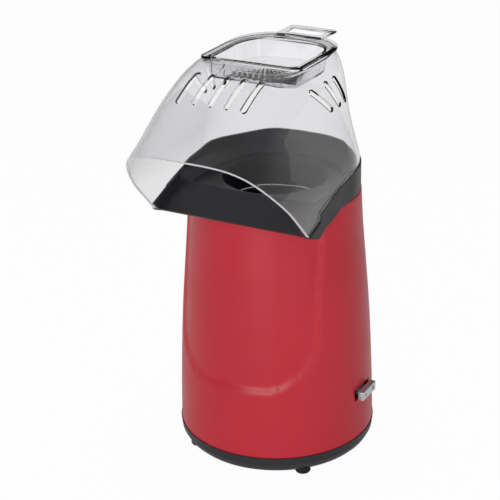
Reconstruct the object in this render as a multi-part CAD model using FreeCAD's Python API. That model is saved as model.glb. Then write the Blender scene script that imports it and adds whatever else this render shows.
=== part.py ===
import FreeCAD, Part
import math
import os

# Hot-air popcorn maker. Millimetres, +Z up, the table at z = 0, the mouth of the chute toward -Y and
# the switch toward +X. Every shape is drawn about the body's own upright axis and moved at the end so
# that the whole part stands centred over the origin.

# ---- overall ----
FRONT_Y = 148.0          # how far the hood's front edge reaches ahead of the body axis
HOOD_TOP_Z = 342.0       # flat top of the hood
TABLE_GAP = 5.4          # the feet hold the base this far off the table

# ---- base ----
BASE_TOP_Z = 20.3        # seam between base and housing
BASE_BOTTOM_R = 76.5
BASE_SIDE_R = 82.4
BASE_TOP_R = 83.2
BASE_FLOOR_T = 2.6
BASE_LIP_TOP_Z = 26.0    # the ring that stands up inside the housing
BASE_LIP_T = 2.2
GRILLE_SLOTS = 24
GRILLE_SLOT_W = 3.2
GRILLE_IN_R = 18.0
GRILLE_OUT_R = 39.0
CORD_HOLE_R = 3.6
CORD_HOLE_Z = 13.6
FOOT_RING_R = 71.0
FOOT_R = 6.5
FOOT_STEM_R = 2.5
FOOT_BARB_R = 3.4
FOOT_HOLE_GAP = 0.3

# ---- housing ----
# radius of the housing at each height
HOUSING_PROFILE = (
    (20.3, 82.6),
    (54.0, 81.8),
    (88.0, 80.5),
    (126.0, 78.4),
    (162.0, 75.6),
    (198.0, 72.7),
    (229.1, 71.0),
)
HOUSING_T = 2.6
SEAT_GAP = 0.4           # play round a part that drops into a ring
PANEL_HALF_W = 62.5      # the sunk panel on the front of the housing
PANEL_BOTTOM_Z = 77.0
PANEL_RAMP_TOP_Z = 88.0
PANEL_DEPTH = 2.2
PANEL_CORNER_R = 36.0
DECK_SCREW_RING_R = 63.0
DECK_BOSS_R = 4.0
DECK_BOSS_H = 20.0

# ---- switch ----
SWITCH_Z = 60.0
SWITCH_WALL_X = 81.6      # outside of the side at the switch's height
SWITCH_FACE_X = 88.0     # outer face of the bar
BAR_L = 25.0
BAR_H = 8.2
BAR_T = 7.8
SWITCH_HOLE_L = 28.4
SWITCH_HOLE_H = 10.6
PIVOT_R = 1.2
PIVOT_FIT = 0.06
NECK_W = 10.0
SWITCH_BODY_W = 32.0
SWITCH_BODY_H = 16.0
SWITCH_BODY_BACK_X = 60.0
SWITCH_BODY_SET_BACK = 2.2 # from the inside of the wall to the front of the switch body
LUG_SET_BACK = 0.7         # from the inside of the wall to the ends of its lugs
PIVOT_SET_BACK = 2.7       # from the inside of the wall to the pin
SHELF_T = 2.2

# ---- deck, duct and chamber ----
DECK_TOP_Z = 211.9
DECK_T = 3.0
DECK_OUT_R = 65.8
DECK_IN_R = 55.3
DUCT_IN_R = 54.0
DUCT_T = 0.8
DUCT_BOTTOM_Z = 97.0
FLANGE_R = 59.0
CHAMBER_R = 42.0         # outside of the chamber's wall
CHAMBER_T = 1.0
CHAMBER_FLOOR_Z = 124.0
CHAMBER_DISH = 3.0       # the floor is dished this deep
LOUVRES = 20
LOUVRE_W = 2.6
LOUVRE_L = 15.0
LOUVRE_TILT = 28.0
LOUVRE_Z = 136.5
CHAMBER_SCREWS = 3
CHAMBER_SCREW_RING_R = 57.1
CHAMBER_SCREW_R = 1.0

# ---- blower ----
BLOWER_FLOOR_Z = 70.0
BLOWER_FLOOR_T = 3.0
BLOWER_IN_R = 52.5
BLOWER_T = 2.5
BLOWER_TOP_Z = 104.0
BLOWER_HUB_R = 22.0
INLET_OUT_R = 44.0
SPOKES = 4
SPOKE_W = 9.0
PILLAR_RING_R = 48.0
PILLAR_R = 5.0
PILLAR_BOTTOM_Z = 14.0
BASE_SCREW_R = 1.5
BASE_SCREW_HEAD_R = 3.2
THREAD_FIT = 0.02        # a screw fills its tapped hole but for this much
BASE_SCREW_SEAT_Z = 11.4

# ---- motor and fan ----
MOTOR_R = 18.5
MOTOR_T = 1.2
MOTOR_BOTTOM_Z = 20.0
CAP_T = 3.0
SHAFT_R = 1.5
SHAFT_BOTTOM_Z = 15.6
SHAFT_TOP_Z = 94.0
SHAFT_FIT = 0.05
BUSH_R = 3.5
BUSH_FIT = 0.02
BUSH_L = 5.0
MAGNET_T = 2.5
MAGNET_GAP = 0.3
ROTOR_R = 13.6
ROTOR_BOTTOM_Z = 34.0
ROTOR_TOP_Z = 58.0
ROTOR_POLES = 5
FAN_R = 46.0
FAN_HUB_R = 7.0
FAN_BOTTOM_Z = 78.0
FAN_TOP_Z = 92.0
FAN_BLADES = 8
FAN_BLADE_T = 1.6
FAN_BLADE_CHORD = 15.0
FAN_PITCH = 38.0
MOTOR_SCREW_RING_R = 11.0
MOTOR_SCREW_R = 1.4

# ---- heater ----
MICA_T = 0.8
MICA_HALF_L = 53.3
MICA_H = 20.0
COIL_Z = 107.4
COIL_RINGS = ((38.0, 44), (22.0, 26))   # radius of each ring of coil, and its turns
COIL_R = 4.0
COIL_WIRE_R = 0.45
COIL_HOLE_GAP = 0.35

# ---- chute ----
CHUTE_HALF_W = 70.5
CHUTE_WALL_T = 2.2
UPSTAND_HALF_W = 66.0
UPSTAND_T = 2.0
THROAT_IN_R = 42.6
THROAT_T = 2.2
THROAT_BOTTOM_Z = 214.0
CHUTE_FLOOR_Z = 238.0
CHUTE_FLOOR_T = 2.2
RAMP_START_Y = -43.2
LIP_Y = -76.6
LIP_Z = 225.3
SPIGOT_R = 65.6
SPIGOT_T = 2.0
SPIGOT_BOTTOM_Z = 221.0
BOWL_IN_R = 54.0
BOWL_TOP_Z = 246.0
# the seam between chute and hood as seen from the side: y, z
SEAM = (
    (90.0, 251.8),
    (10.0, 251.8),
    (-5.0, 250.2),
    (-23.5, 246.9),
    (-41.4, 242.4),
    (-56.5, 238.0),
    (-58.0, 231.0),
    (-76.6, 224.7),
    (-110.0, 213.4),
)
SEAM_GAP = 0.3
# top edge of the ring that stands up inside the hood: y, z
UPSTAND_TOP = ((90.0, 255.2), (10.0, 255.2), (-23.5, 250.4), (-56.5, 240.6), (-100.0, 226.0))
# lower edge of the chute's side walls: y, z
CHUTE_LOW = ((-22.0, 229.1), (-32.0, 226.2), (-50.0, 222.2), (-60.7, 217.8), (-76.6, 223.1))

# ---- hood ----
HOOD_T = 2.2
MOUTH_SLOPE = 0.970      # the hood's front opening leans forward this much per millimetre of height
MOUTH_Y = -76.6
MOUTH_Z = 224.7
# level sections of the hood: height, half width, reach to the back, reach to the front
HOOD_SECTIONS = (
    (210.0, 69.6, 69.6, 235.0),
    (232.0, 69.6, 69.6, 224.0),
    (253.0, 69.5, 69.5, 211.0),
    (264.0, 67.4, 66.2, 201.0),
    (275.0, 64.3, 62.4, 186.0),
    (287.0, 61.2, 59.4, 167.0),
    (298.0, 58.8, 57.7, 148.7),
    (308.0, 57.1, 56.9, 134.5),
    (317.0, 55.5, 56.3, 121.0),
    (325.0, 53.6, 55.4, 107.5),
    (332.0, 51.2, 54.2, 94.5),
    (337.0, 48.9, 53.0, 83.5),
    (340.0, 47.0, 51.8, 73.0),
    (341.4, 45.7, 50.8, 65.0),
    (342.0, 44.6, 49.8, 57.0),
)
FRONT_POWER = 4.0
BACK_POWER_LOW = 2.0
BACK_POWER_TOP = 2.3
SLOT_W = 5.0
TOP_SLOTS = 5
TOP_SLOT_PITCH = 13.8
TOP_SLOT_FRONT_Y = -101.0
TOP_SLOT_BACK_Y = -71.0
SIDE_SLOT_LOW_Z = 306.4
SIDE_SLOT_HIGH_Z = 326.4
SIDE_SLOTS = ((-38.0, -12.3), (-13.6, 2.1), (1.6, 15.5))   # y at the high and at the low end

# ---- measuring cup ----
CUP_HALF_W = 39.8
CUP_FRONT_Y = -38.8
CUP_BACK_Y = 38.0
CUP_BOTTOM_Z = 326.0
CUP_DRAFT = 2.2          # the cup is this much narrower all round at the bottom
CUP_T = 1.8
CUP_GAP = 0.4
FLANGE_T = 1.7
CUP_SEAT_GAP = 0.3       # the flange sits this far above the hood's top
CUP_FLANGE_HALF_W = 45.2
CUP_FLANGE_FRONT_Y = -42.5
CUP_FLANGE_BACK_Y = 51.5
CUP_CORNER_R = 7.0
TAB_HALF_W = 21.3
TAB_BACK_Y = 74.5
TAB_BAR_W = 8.5
TAB_ARM_W = 6.0
DRIP_HOLES = 9
DRIP_HOLE_R = 1.1
DRIP_PITCH = 5.6

# ---- rectifier ----
BOARD_Y = 60.0
BOARD_L = 36.0
BOARD_W = 16.0
BOARD_T = 1.6
BOARD_Z = 16.0
BOARD_POST_R = 3.0
BOARD_POST_X = 13.5
BOARD_SCREW_R = 1.0
DIODE_R = 1.4
DIODE_L = 9.0

DECK_BOTTOM_Z = DECK_TOP_Z - DECK_T
CHAMBER_TOP_Z = DECK_TOP_Z + DUCT_T + CHAMBER_T
HOUSING_TOP_Z = HOUSING_PROFILE[-1][0]
WALL_INSIDE_X = SWITCH_WALL_X - HOUSING_T
SWITCH_BODY_FRONT_X = WALL_INSIDE_X - SWITCH_BODY_SET_BACK
LUG_FRONT_X = WALL_INSIDE_X - LUG_SET_BACK
PIVOT_X = WALL_INSIDE_X - PIVOT_SET_BACK
CUP_SEAT_Z = HOOD_TOP_Z + CUP_SEAT_GAP
CUP_TOP_Z = CUP_SEAT_Z + FLANGE_T
MOVE_X = (BASE_TOP_R - SWITCH_FACE_X) / 2
MOVE_Y = (FRONT_Y - BASE_TOP_R) / 2
QUARTERS = (45.0, 135.0, 225.0, 315.0)


def vec(x, y, z):
    return FreeCAD.Vector(x, y, z)


def disc(radius, z_low, z_high, x=0.0, y=0.0):
    return Part.makeCylinder(radius, z_high - z_low, vec(x, y, z_low))


def ring(outer, inner, z_low, z_high, x=0.0, y=0.0):
    return disc(outer, z_low, z_high, x, y).cut(disc(inner, z_low - 1, z_high + 1, x, y))


def block(x_low, x_high, y_low, y_high, z_low, z_high):
    return Part.makeBox(x_high - x_low, y_high - y_low, z_high - z_low, vec(x_low, y_low, z_low))


def turned(shape, degrees):
    copy = shape.copy()
    copy.rotate(vec(0, 0, 0), vec(0, 0, 1), degrees)
    return copy


def round_axis(shape, angles):
    return [turned(shape, a) for a in angles]


def evenly(count, start=0.0):
    return [start + 360.0 * i / count for i in range(count)]


def joined(shapes):
    return shapes[0].multiFuse(shapes[1:]).removeSplitter()


def without(shape, cutters):
    return shape.cut(Part.makeCompound(cutters))


def spun(points):
    """A solid turned about the axis from (radius, height) corners."""
    corners = [vec(r, 0, z) for r, z in points]
    face = Part.Face(Part.makePolygon(corners + corners[:1]))
    return face.revolve(vec(0, 0, 0), vec(0, 0, 1), 360)


def side_prism(points, half_width=120.0):
    """A solid drawn as a (y, z) outline and run across the whole width."""
    corners = [vec(-half_width, y, z) for y, z in points]
    face = Part.Face(Part.makePolygon(corners + corners[:1]))
    return face.extrude(vec(2 * half_width, 0, 0))


def spline_edge(points):
    curve = Part.BSplineCurve()
    curve.interpolate(points)
    return curve.toShape()


def at_height(line, z):
    for (z0, v0), (z1, v1) in zip(line, line[1:]):
        if z <= z1:
            return v0 + (v1 - v0) * (z - z0) / (z1 - z0)
    (z0, v0), (z1, v1) = line[-2:]
    return v1 + (v1 - v0) * (z - z1) / (z1 - z0)


def housing_core(inset):
    """The solid inside the housing's surface, drawn in by inset."""
    low_z, low_r = HOUSING_PROFILE[0]
    top_z, top_r = HOUSING_PROFILE[-1]
    side = spline_edge([vec(r - inset, 0, z) for z, r in HOUSING_PROFILE])
    top = Part.makeLine(vec(top_r - inset, 0, top_z), vec(0, 0, top_z))
    middle = Part.makeLine(vec(0, 0, top_z), vec(0, 0, low_z))
    bottom = Part.makeLine(vec(0, 0, low_z), vec(low_r - inset, 0, low_z))
    face = Part.Face(Part.Wire([side, top, middle, bottom]))
    return face.revolve(vec(0, 0, 0), vec(0, 0, 1), 360)


def panel_window(grow):
    """The upright block with rounded lower corners that marks the sunk panel out."""
    half = PANEL_HALF_W + grow
    low = PANEL_BOTTOM_Z - grow
    top = HOUSING_TOP_Z + 20
    r = PANEL_CORNER_R
    k = r * (1 - math.sqrt(0.5))
    y = -100.0
    edges = [
        Part.makeLine(vec(-half, y, top), vec(-half, y, low + r)),
        Part.Arc(vec(-half, y, low + r), vec(-half + k, y, low + k), vec(-half + r, y, low)).toShape(),
        Part.makeLine(vec(-half + r, y, low), vec(half - r, y, low)),
        Part.Arc(vec(half - r, y, low), vec(half - k, y, low + k), vec(half, y, low + r)).toShape(),
        Part.makeLine(vec(half, y, low + r), vec(half, y, top)),
        Part.makeLine(vec(half, y, top), vec(-half, y, top)),
    ]
    return Part.Face(Part.Wire(edges)).extrude(vec(0, 75, 0))


def panel_block(inset):
    """What the sunk panel takes away from a core drawn in by inset."""
    slab = panel_window(inset).cut(housing_core(inset + PANEL_DEPTH))
    low = PANEL_BOTTOM_Z - inset
    ramp_top = PANEL_RAMP_TOP_Z - inset
    ramp = spun(
        (
            (0, low - 30),
            (200, low - 30),
            (200, low - 10),
            (at_height(HOUSING_PROFILE, low) - inset + 0.3, low),
            (at_height(HOUSING_PROFILE, ramp_top) - inset - PANEL_DEPTH - 0.6, ramp_top),
            (0, ramp_top),
        )
    )
    return slab.cut(ramp)


def housing_solid(inset):
    return housing_core(inset).cut(panel_block(inset))


def make_housing():
    outer = housing_solid(0.0)
    shell = outer.cut(housing_solid(HOUSING_T))
    boss = disc(DECK_BOSS_R, DECK_BOTTOM_Z - DECK_BOSS_H, DECK_BOTTOM_Z, DECK_SCREW_RING_R, 0)
    rib = block(DECK_SCREW_RING_R, 80, -1.5, 1.5, DECK_BOTTOM_Z - DECK_BOSS_H, DECK_BOTTOM_Z)
    bosses = [s.common(outer) for s in round_axis(boss.fuse(rib), QUARTERS)]
    shelf_low = SWITCH_Z - SWITCH_BODY_H / 2 - SEAM_GAP
    shelf_high = SWITCH_Z + SWITCH_BODY_H / 2 + SEAM_GAP
    shelves = [
        block(64, 90, -14, 14, shelf_low - SHELF_T, shelf_low).common(outer),
        block(64, 90, -14, 14, shelf_high, shelf_high + SHELF_T).common(outer),
    ]
    body = joined([shell] + bosses + shelves)
    pilot = disc(BASE_SCREW_R + THREAD_FIT, DECK_BOTTOM_Z - 14, DECK_BOTTOM_Z + 1, DECK_SCREW_RING_R, 0)
    half_l = SWITCH_HOLE_L / 2
    half_h = SWITCH_HOLE_H / 2
    opening = block(70, 95, -half_l, half_l, SWITCH_Z - half_h, SWITCH_Z + half_h)
    front_top = side_prism(under_ramp(SEAT_GAP) + ((-110.0, 300.0), (RAMP_START_Y + 1, 300.0)))
    return without(body, round_axis(pilot, QUARTERS) + [opening, front_top])


def make_base_plate():
    floor_z = TABLE_GAP + BASE_FLOOR_T
    lip_r = HOUSING_PROFILE[0][1] - HOUSING_T - SEAT_GAP
    shell = spun(
        (
            (0, TABLE_GAP),
            (BASE_BOTTOM_R, TABLE_GAP),
            (BASE_SIDE_R - 2.6, TABLE_GAP + 3.2),
            (BASE_SIDE_R, TABLE_GAP + 8.0),
            (BASE_TOP_R, BASE_TOP_Z),
            (lip_r, BASE_TOP_Z),
            (lip_r, BASE_LIP_TOP_Z),
            (lip_r - BASE_LIP_T, BASE_LIP_TOP_Z),
            (lip_r - BASE_LIP_T, floor_z + 3.0),
            (lip_r - BASE_LIP_T - 3.0, floor_z),
            (0, floor_z),
        )
    )
    boss = disc(BASE_SCREW_HEAD_R + 2.8, floor_z - 1, PILLAR_BOTTOM_Z, PILLAR_RING_R, 0)
    post = disc(BOARD_POST_R, floor_z - 1, BOARD_Z, BOARD_POST_X, BOARD_Y)
    other_post = disc(BOARD_POST_R, floor_z - 1, BOARD_Z, -BOARD_POST_X, BOARD_Y)
    body = joined([shell] + round_axis(boss, QUARTERS) + [post, other_post])
    hole = disc(BASE_SCREW_R + 0.3, 0, PILLAR_BOTTOM_Z + 1, PILLAR_RING_R, 0)
    sink = disc(BASE_SCREW_HEAD_R + 0.4, 0, BASE_SCREW_SEAT_Z, PILLAR_RING_R, 0)
    foot_hole = disc(FOOT_STEM_R + FOOT_HOLE_GAP, 0, floor_z + 1, FOOT_RING_R, 0)
    slot = block(GRILLE_IN_R, GRILLE_OUT_R, -GRILLE_SLOT_W / 2, GRILLE_SLOT_W / 2, 0, floor_z + 1)
    pilot = disc(BOARD_SCREW_R + THREAD_FIT, BOARD_Z - 6, BOARD_Z + 1, BOARD_POST_X, BOARD_Y)
    other_pilot = disc(BOARD_SCREW_R + THREAD_FIT, BOARD_Z - 6, BOARD_Z + 1, -BOARD_POST_X, BOARD_Y)
    cord = Part.makeCylinder(CORD_HOLE_R, 30, vec(0, 65, CORD_HOLE_Z), vec(0, 1, 0))
    cutters = round_axis(hole, QUARTERS) + round_axis(sink, QUARTERS) + [pilot, other_pilot, cord]
    cutters += round_axis(foot_hole, QUARTERS) + round_axis(slot, evenly(GRILLE_SLOTS, 7.5))
    return without(body, cutters)


def make_feet():
    floor_z = TABLE_GAP + BASE_FLOOR_T
    foot = spun(
        (
            (0, 0),
            (FOOT_R - 0.8, 0),
            (FOOT_R, 1.2),
            (FOOT_R, TABLE_GAP),
            (FOOT_STEM_R, TABLE_GAP),
            (FOOT_STEM_R, floor_z + 0.05),
            (FOOT_BARB_R, floor_z + 0.05),
            (FOOT_STEM_R - 0.6, floor_z + 3.0),
            (0, floor_z + 3.0),
        )
    )
    foot.translate(vec(FOOT_RING_R, 0, 0))
    return Part.makeCompound(round_axis(foot, QUARTERS))


def screw(head_r, head_h, shank_r, length, x, y, z_seat, pointing_up=False):
    """A pan-head screw whose head bears at z_seat; the shank runs down, or up."""
    step = -1 if pointing_up else 1
    head = Part.makeCylinder(head_r, head_h, vec(x, y, z_seat), vec(0, 0, step))
    shank = Part.makeCylinder(shank_r, length + 0.5, vec(x, y, z_seat + 0.5 * step), vec(0, 0, -step))
    tip = Part.makeCone(shank_r, 0.3, shank_r * 1.2, vec(x, y, z_seat - length * step), vec(0, 0, -step))
    top = z_seat + head_h * step
    bar = head_r * 0.75
    low = min(top, top - 0.9 * step)
    across = block(x - bar, x + bar, y - 0.45, y + 0.45, low, low + 0.9)
    along = block(x - 0.45, x + 0.45, y - bar, y + bar, low, low + 0.9)
    return without(joined([head, shank, tip]), [across, along])


def make_base_screws():
    one = screw(BASE_SCREW_HEAD_R, 2.4, BASE_SCREW_R, 18.0, PILLAR_RING_R, 0, BASE_SCREW_SEAT_Z, True)
    return Part.makeCompound(round_axis(one, QUARTERS))


def make_blower_housing():
    out_r = BLOWER_IN_R + BLOWER_T
    floor_top = BLOWER_FLOOR_Z + BLOWER_FLOOR_T
    seat_r = DUCT_IN_R + DUCT_T + SEAT_GAP
    cup = spun(
        (
            (0, BLOWER_FLOOR_Z),
            (out_r, BLOWER_FLOOR_Z),
            (out_r, DUCT_BOTTOM_Z - 4),
            (seat_r + 2.2, DUCT_BOTTOM_Z - 1),
            (seat_r + 2.2, BLOWER_TOP_Z),
            (seat_r, BLOWER_TOP_Z),
            (seat_r, DUCT_BOTTOM_Z),
            (BLOWER_IN_R, DUCT_BOTTOM_Z),
            (BLOWER_IN_R, floor_top),
            (0, floor_top),
        )
    )
    pillar = disc(PILLAR_R, PILLAR_BOTTOM_Z, BLOWER_FLOOR_Z + 1, PILLAR_RING_R, 0)
    body = joined([cup] + round_axis(pillar, QUARTERS))
    inlet = ring(INLET_OUT_R, BLOWER_HUB_R, BLOWER_FLOOR_Z - 1, floor_top + 1)
    spoke = block(BLOWER_HUB_R - 2, INLET_OUT_R + 2, -SPOKE_W / 2, SPOKE_W / 2, 0, floor_top + 5)
    inlet = without(inlet, round_axis(spoke, evenly(SPOKES, 45.0)))
    inlet = inlet.common(disc(INLET_OUT_R, BLOWER_FLOOR_Z - 1, floor_top + 1))
    pillar_keep = [disc(PILLAR_R + 0.5, 0, 100, PILLAR_RING_R, 0)]
    inlet = without(inlet, round_axis(pillar_keep[0], QUARTERS))
    pilot = disc(BASE_SCREW_R + THREAD_FIT, PILLAR_BOTTOM_Z - 1, PILLAR_BOTTOM_Z + 20, PILLAR_RING_R, 0)
    shaft_hole = disc(BUSH_R + 3.0, BLOWER_FLOOR_Z - 1, floor_top + 1)
    motor_hole = disc(MOTOR_SCREW_R + 0.3, BLOWER_FLOOR_Z - 1, floor_top + 1, MOTOR_SCREW_RING_R, 0)
    cutters = [inlet, shaft_hole] + round_axis(pilot, QUARTERS) + round_axis(motor_hole, (0.0, 180.0))
    return without(body, cutters)


def make_motor_can():
    top = BLOWER_FLOOR_Z
    shell = spun(
        (
            (BUSH_R + BUSH_FIT, top - BUSH_L + 1.5),
            (BUSH_R + 2.0, top - BUSH_L + 1.5),
            (BUSH_R + 2.0, top - MOTOR_T),
            (MOTOR_R - MOTOR_T, top - MOTOR_T),
            (MOTOR_R - MOTOR_T, MOTOR_BOTTOM_Z),
            (MOTOR_R, MOTOR_BOTTOM_Z),
            (MOTOR_R, top),
            (BUSH_R + 2.0, top),
            (BUSH_R + 2.0, top + 1.5),
            (BUSH_R + BUSH_FIT, top + 1.5),
        )
    )
    hole = disc(MOTOR_SCREW_R + THREAD_FIT, top - 3, top + 1, MOTOR_SCREW_RING_R, 0)
    window = block(MOTOR_R - 3, MOTOR_R + 3, -3.5, 3.5, MOTOR_BOTTOM_Z + 3.6, MOTOR_BOTTOM_Z + 8.6)
    return without(shell, round_axis(hole, (0.0, 180.0)) + round_axis(window, (45.0, 135.0, 225.0, 315.0)))


def make_motor_end_cap():
    low = MOTOR_BOTTOM_Z - CAP_T
    inner_r = MOTOR_R - MOTOR_T - 0.3
    cap = spun(
        (
            (BUSH_R + BUSH_FIT, low),
            (MOTOR_R, low),
            (MOTOR_R, MOTOR_BOTTOM_Z),
            (inner_r, MOTOR_BOTTOM_Z),
            (inner_r, MOTOR_BOTTOM_Z + 3),
            (inner_r - 1.6, MOTOR_BOTTOM_Z + 3),
            (inner_r - 1.6, MOTOR_BOTTOM_Z),
            (BUSH_R + 2.0, MOTOR_BOTTOM_Z),
            (BUSH_R + 2.0, low + BUSH_L - 0.5),
            (BUSH_R + BUSH_FIT, low + BUSH_L - 0.5),
        )
    )
    tower = block(9.0, 12.5, -2.4, 2.4, MOTOR_BOTTOM_Z - 1, MOTOR_BOTTOM_Z + 9)
    return joined([cap] + round_axis(tower, (0.0, 180.0)))


def make_motor_bushes():
    top = ring(BUSH_R, SHAFT_R + SHAFT_FIT, BLOWER_FLOOR_Z + 1.5 - BUSH_L, BLOWER_FLOOR_Z + 1.5)
    low_z = MOTOR_BOTTOM_Z - CAP_T
    low = ring(BUSH_R, SHAFT_R + SHAFT_FIT, low_z, low_z + BUSH_L)
    return Part.makeCompound([low, top])


def make_motor_magnets():
    out_r = MOTOR_R - MOTOR_T - MAGNET_GAP
    whole = ring(out_r, out_r - MAGNET_T, ROTOR_BOTTOM_Z - 2, ROTOR_TOP_Z + 2)
    gap = 7.0
    left = whole.common(block(-30, -gap, -30, 30, 0, 100))
    right = whole.common(block(gap, 30, -30, 30, 0, 100))
    return Part.makeCompound([left, right])


def make_motor_core():
    body = disc(ROTOR_R, ROTOR_BOTTOM_Z, ROTOR_TOP_Z)
    slot = block(7.2, 12.0, -3.0, 3.0, ROTOR_BOTTOM_Z - 1, ROTOR_TOP_Z + 1)
    mouth = block(11.0, 20.0, -0.9, 0.9, ROTOR_BOTTOM_Z - 1, ROTOR_TOP_Z + 1)
    bore = disc(SHAFT_R + BUSH_FIT, 0, 100)
    return without(body, round_axis(slot.fuse(mouth), evenly(ROTOR_POLES)) + [bore])


def make_motor_windings():
    parts = []
    for a in evenly(ROTOR_POLES):
        bar = block(7.5, 11.6, -2.6, 2.6, ROTOR_BOTTOM_Z - 3.2, ROTOR_TOP_Z + 3.2)
        parts.append(turned(bar, a))
    low = ring(11.6, 4.6, ROTOR_BOTTOM_Z - 3.2, ROTOR_BOTTOM_Z - 0.3)
    high = ring(11.6, 4.6, ROTOR_TOP_Z + 0.3, ROTOR_TOP_Z + 3.2)
    return joined([low, high] + parts)


def make_motor_commutator():
    body = ring(4.0, SHAFT_R + BUSH_FIT, 23.6, 29.8)
    collar = ring(5.0, SHAFT_R + BUSH_FIT, 29.0, 30.3)
    gap = block(3.2, 6.0, -0.25, 0.25, 23, 29.0)
    return without(joined([body, collar]), round_axis(gap, evenly(ROTOR_POLES)))


def make_motor_brushes():
    one = block(4.1, 9.0, -1.6, 1.6, 24.6, 28.2)
    return Part.makeCompound(round_axis(one, (0.0, 180.0)))


def make_motor_shaft():
    body = disc(SHAFT_R, SHAFT_BOTTOM_Z, SHAFT_TOP_Z)
    return body.makeChamfer(0.4, [e for e in body.Edges if e.Curve.TypeId == "Part::GeomCircle"])


def make_motor_screws():
    seat = BLOWER_FLOOR_Z + BLOWER_FLOOR_T
    one = screw(2.8, 2.0, MOTOR_SCREW_R, 5.6, MOTOR_SCREW_RING_R, 0, seat)
    return Part.makeCompound(round_axis(one, (0.0, 180.0)))


def make_fan():
    hub = disc(FAN_HUB_R, FAN_BOTTOM_Z, FAN_TOP_Z)
    mid = (FAN_BOTTOM_Z + FAN_TOP_Z) / 2
    half_c = FAN_BLADE_CHORD / 2
    blade = block(FAN_HUB_R - 2, FAN_R + 5, -half_c, half_c, -FAN_BLADE_T / 2, FAN_BLADE_T / 2)
    blade.rotate(vec(0, 0, 0), vec(1, 0, 0), FAN_PITCH)
    blade.translate(vec(0, 0, mid))
    blade = blade.common(ring(FAN_R, FAN_HUB_R - 1.5, FAN_BOTTOM_Z, FAN_TOP_Z))
    body = joined([hub] + round_axis(blade, evenly(FAN_BLADES)))
    pocket = ring(FAN_HUB_R - 1.8, 3.2, FAN_BOTTOM_Z - 1, FAN_BOTTOM_Z + 6)
    return without(body, [disc(SHAFT_R + BUSH_FIT, 0, 200), pocket])


def make_air_duct():
    out_r = DUCT_IN_R + DUCT_T
    body = spun(
        (
            (DUCT_IN_R, DUCT_BOTTOM_Z),
            (out_r, DUCT_BOTTOM_Z),
            (out_r, DECK_TOP_Z),
            (FLANGE_R, DECK_TOP_Z),
            (FLANGE_R, DECK_TOP_Z + DUCT_T),
            (DUCT_IN_R, DECK_TOP_Z + DUCT_T),
        )
    )
    hole = disc(1.3, DECK_TOP_Z - 1, DECK_TOP_Z + 3, CHAMBER_SCREW_RING_R, 0)
    return without(body, round_axis(hole, evenly(CHAMBER_SCREWS, 90.0)))


def make_chamber():
    top = CHAMBER_TOP_Z
    in_r = CHAMBER_R - CHAMBER_T
    low = CHAMBER_FLOOR_Z
    body = spun(
        (
            (0, low - CHAMBER_DISH),
            (CHAMBER_R - 12, low - CHAMBER_DISH),
            (CHAMBER_R, low + 4),
            (CHAMBER_R, top - CHAMBER_T),
            (FLANGE_R, top - CHAMBER_T),
            (FLANGE_R, top),
            (in_r, top),
            (in_r, low + 4.4),
            (CHAMBER_R - 12.4, low - CHAMBER_DISH + CHAMBER_T),
            (0, low - CHAMBER_DISH + CHAMBER_T),
        )
    )
    louvre = block(CHAMBER_R - 5, CHAMBER_R + 5, -LOUVRE_W / 2, LOUVRE_W / 2, -LOUVRE_L / 2, LOUVRE_L / 2)
    louvre.rotate(vec(0, 0, 0), vec(1, 0, 0), LOUVRE_TILT)
    louvre.translate(vec(0, 0, LOUVRE_Z))
    hole = disc(1.3, top - 3, top + 3, CHAMBER_SCREW_RING_R, 0)
    cutters = round_axis(louvre, evenly(LOUVRES)) + round_axis(hole, evenly(CHAMBER_SCREWS, 90.0))
    return without(body, cutters)


def make_chamber_screws():
    one = screw(1.9, 1.3, CHAMBER_SCREW_R, 4.4, CHAMBER_SCREW_RING_R, 0, CHAMBER_TOP_Z)
    return Part.makeCompound(round_axis(one, evenly(CHAMBER_SCREWS, 90.0)))


def make_deck_ring():
    body = ring(DECK_OUT_R, DECK_IN_R, DECK_BOTTOM_Z, DECK_TOP_Z)
    hole = disc(BASE_SCREW_R + 0.3, DECK_BOTTOM_Z - 1, DECK_TOP_Z + 1, DECK_SCREW_RING_R, 0)
    pilot = disc(CHAMBER_SCREW_R + THREAD_FIT, DECK_BOTTOM_Z - 1, DECK_TOP_Z + 1, CHAMBER_SCREW_RING_R, 0)
    return without(body, round_axis(hole, QUARTERS) + round_axis(pilot, evenly(CHAMBER_SCREWS, 90.0)))


def make_deck_screws():
    one = screw(2.9, 2.0, BASE_SCREW_R, 11.0, DECK_SCREW_RING_R, 0, DECK_TOP_Z)
    return Part.makeCompound(round_axis(one, QUARTERS))


def mica_card(notch_from_top):
    half_t = MICA_T / 2
    low = DUCT_BOTTOM_Z
    card = block(-MICA_HALF_L, MICA_HALF_L, -half_t, half_t, low, low + MICA_H)
    mid = low + MICA_H / 2
    notch_z = (mid, low + MICA_H + 1) if notch_from_top else (low - 1, mid)
    cutters = [block(-half_t - 0.2, half_t + 0.2, -3, 3, notch_z[0], notch_z[1])]
    for ring_r, _ in COIL_RINGS:
        for x in (-ring_r, ring_r):
            hole_r = COIL_R + COIL_WIRE_R + COIL_HOLE_GAP
            cutters.append(Part.makeCylinder(hole_r, 6, vec(x, -3, COIL_Z), vec(0, 1, 0)))
    return without(card, cutters)


def make_mica_cards():
    return Part.makeCompound([mica_card(True), turned(mica_card(False), 90)])


def coil_ring(ring_r, turns):
    span = 356.0
    steps = turns * 9
    points = []
    for i in range(steps + 1):
        a = math.radians(2 + span * i / steps)
        t = 2 * math.pi * turns * i / steps
        r = ring_r + COIL_R * math.cos(t)
        points.append(vec(r * math.cos(a), r * math.sin(a), COIL_Z + COIL_R * math.sin(t)))
    path = spline_edge(points)
    start = path.valueAt(path.FirstParameter)
    along = path.tangentAt(path.FirstParameter)
    profile = Part.Wire([Part.makeCircle(COIL_WIRE_R, start, along)])
    return Part.Wire([path]).makePipeShell([profile], True, True)


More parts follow.
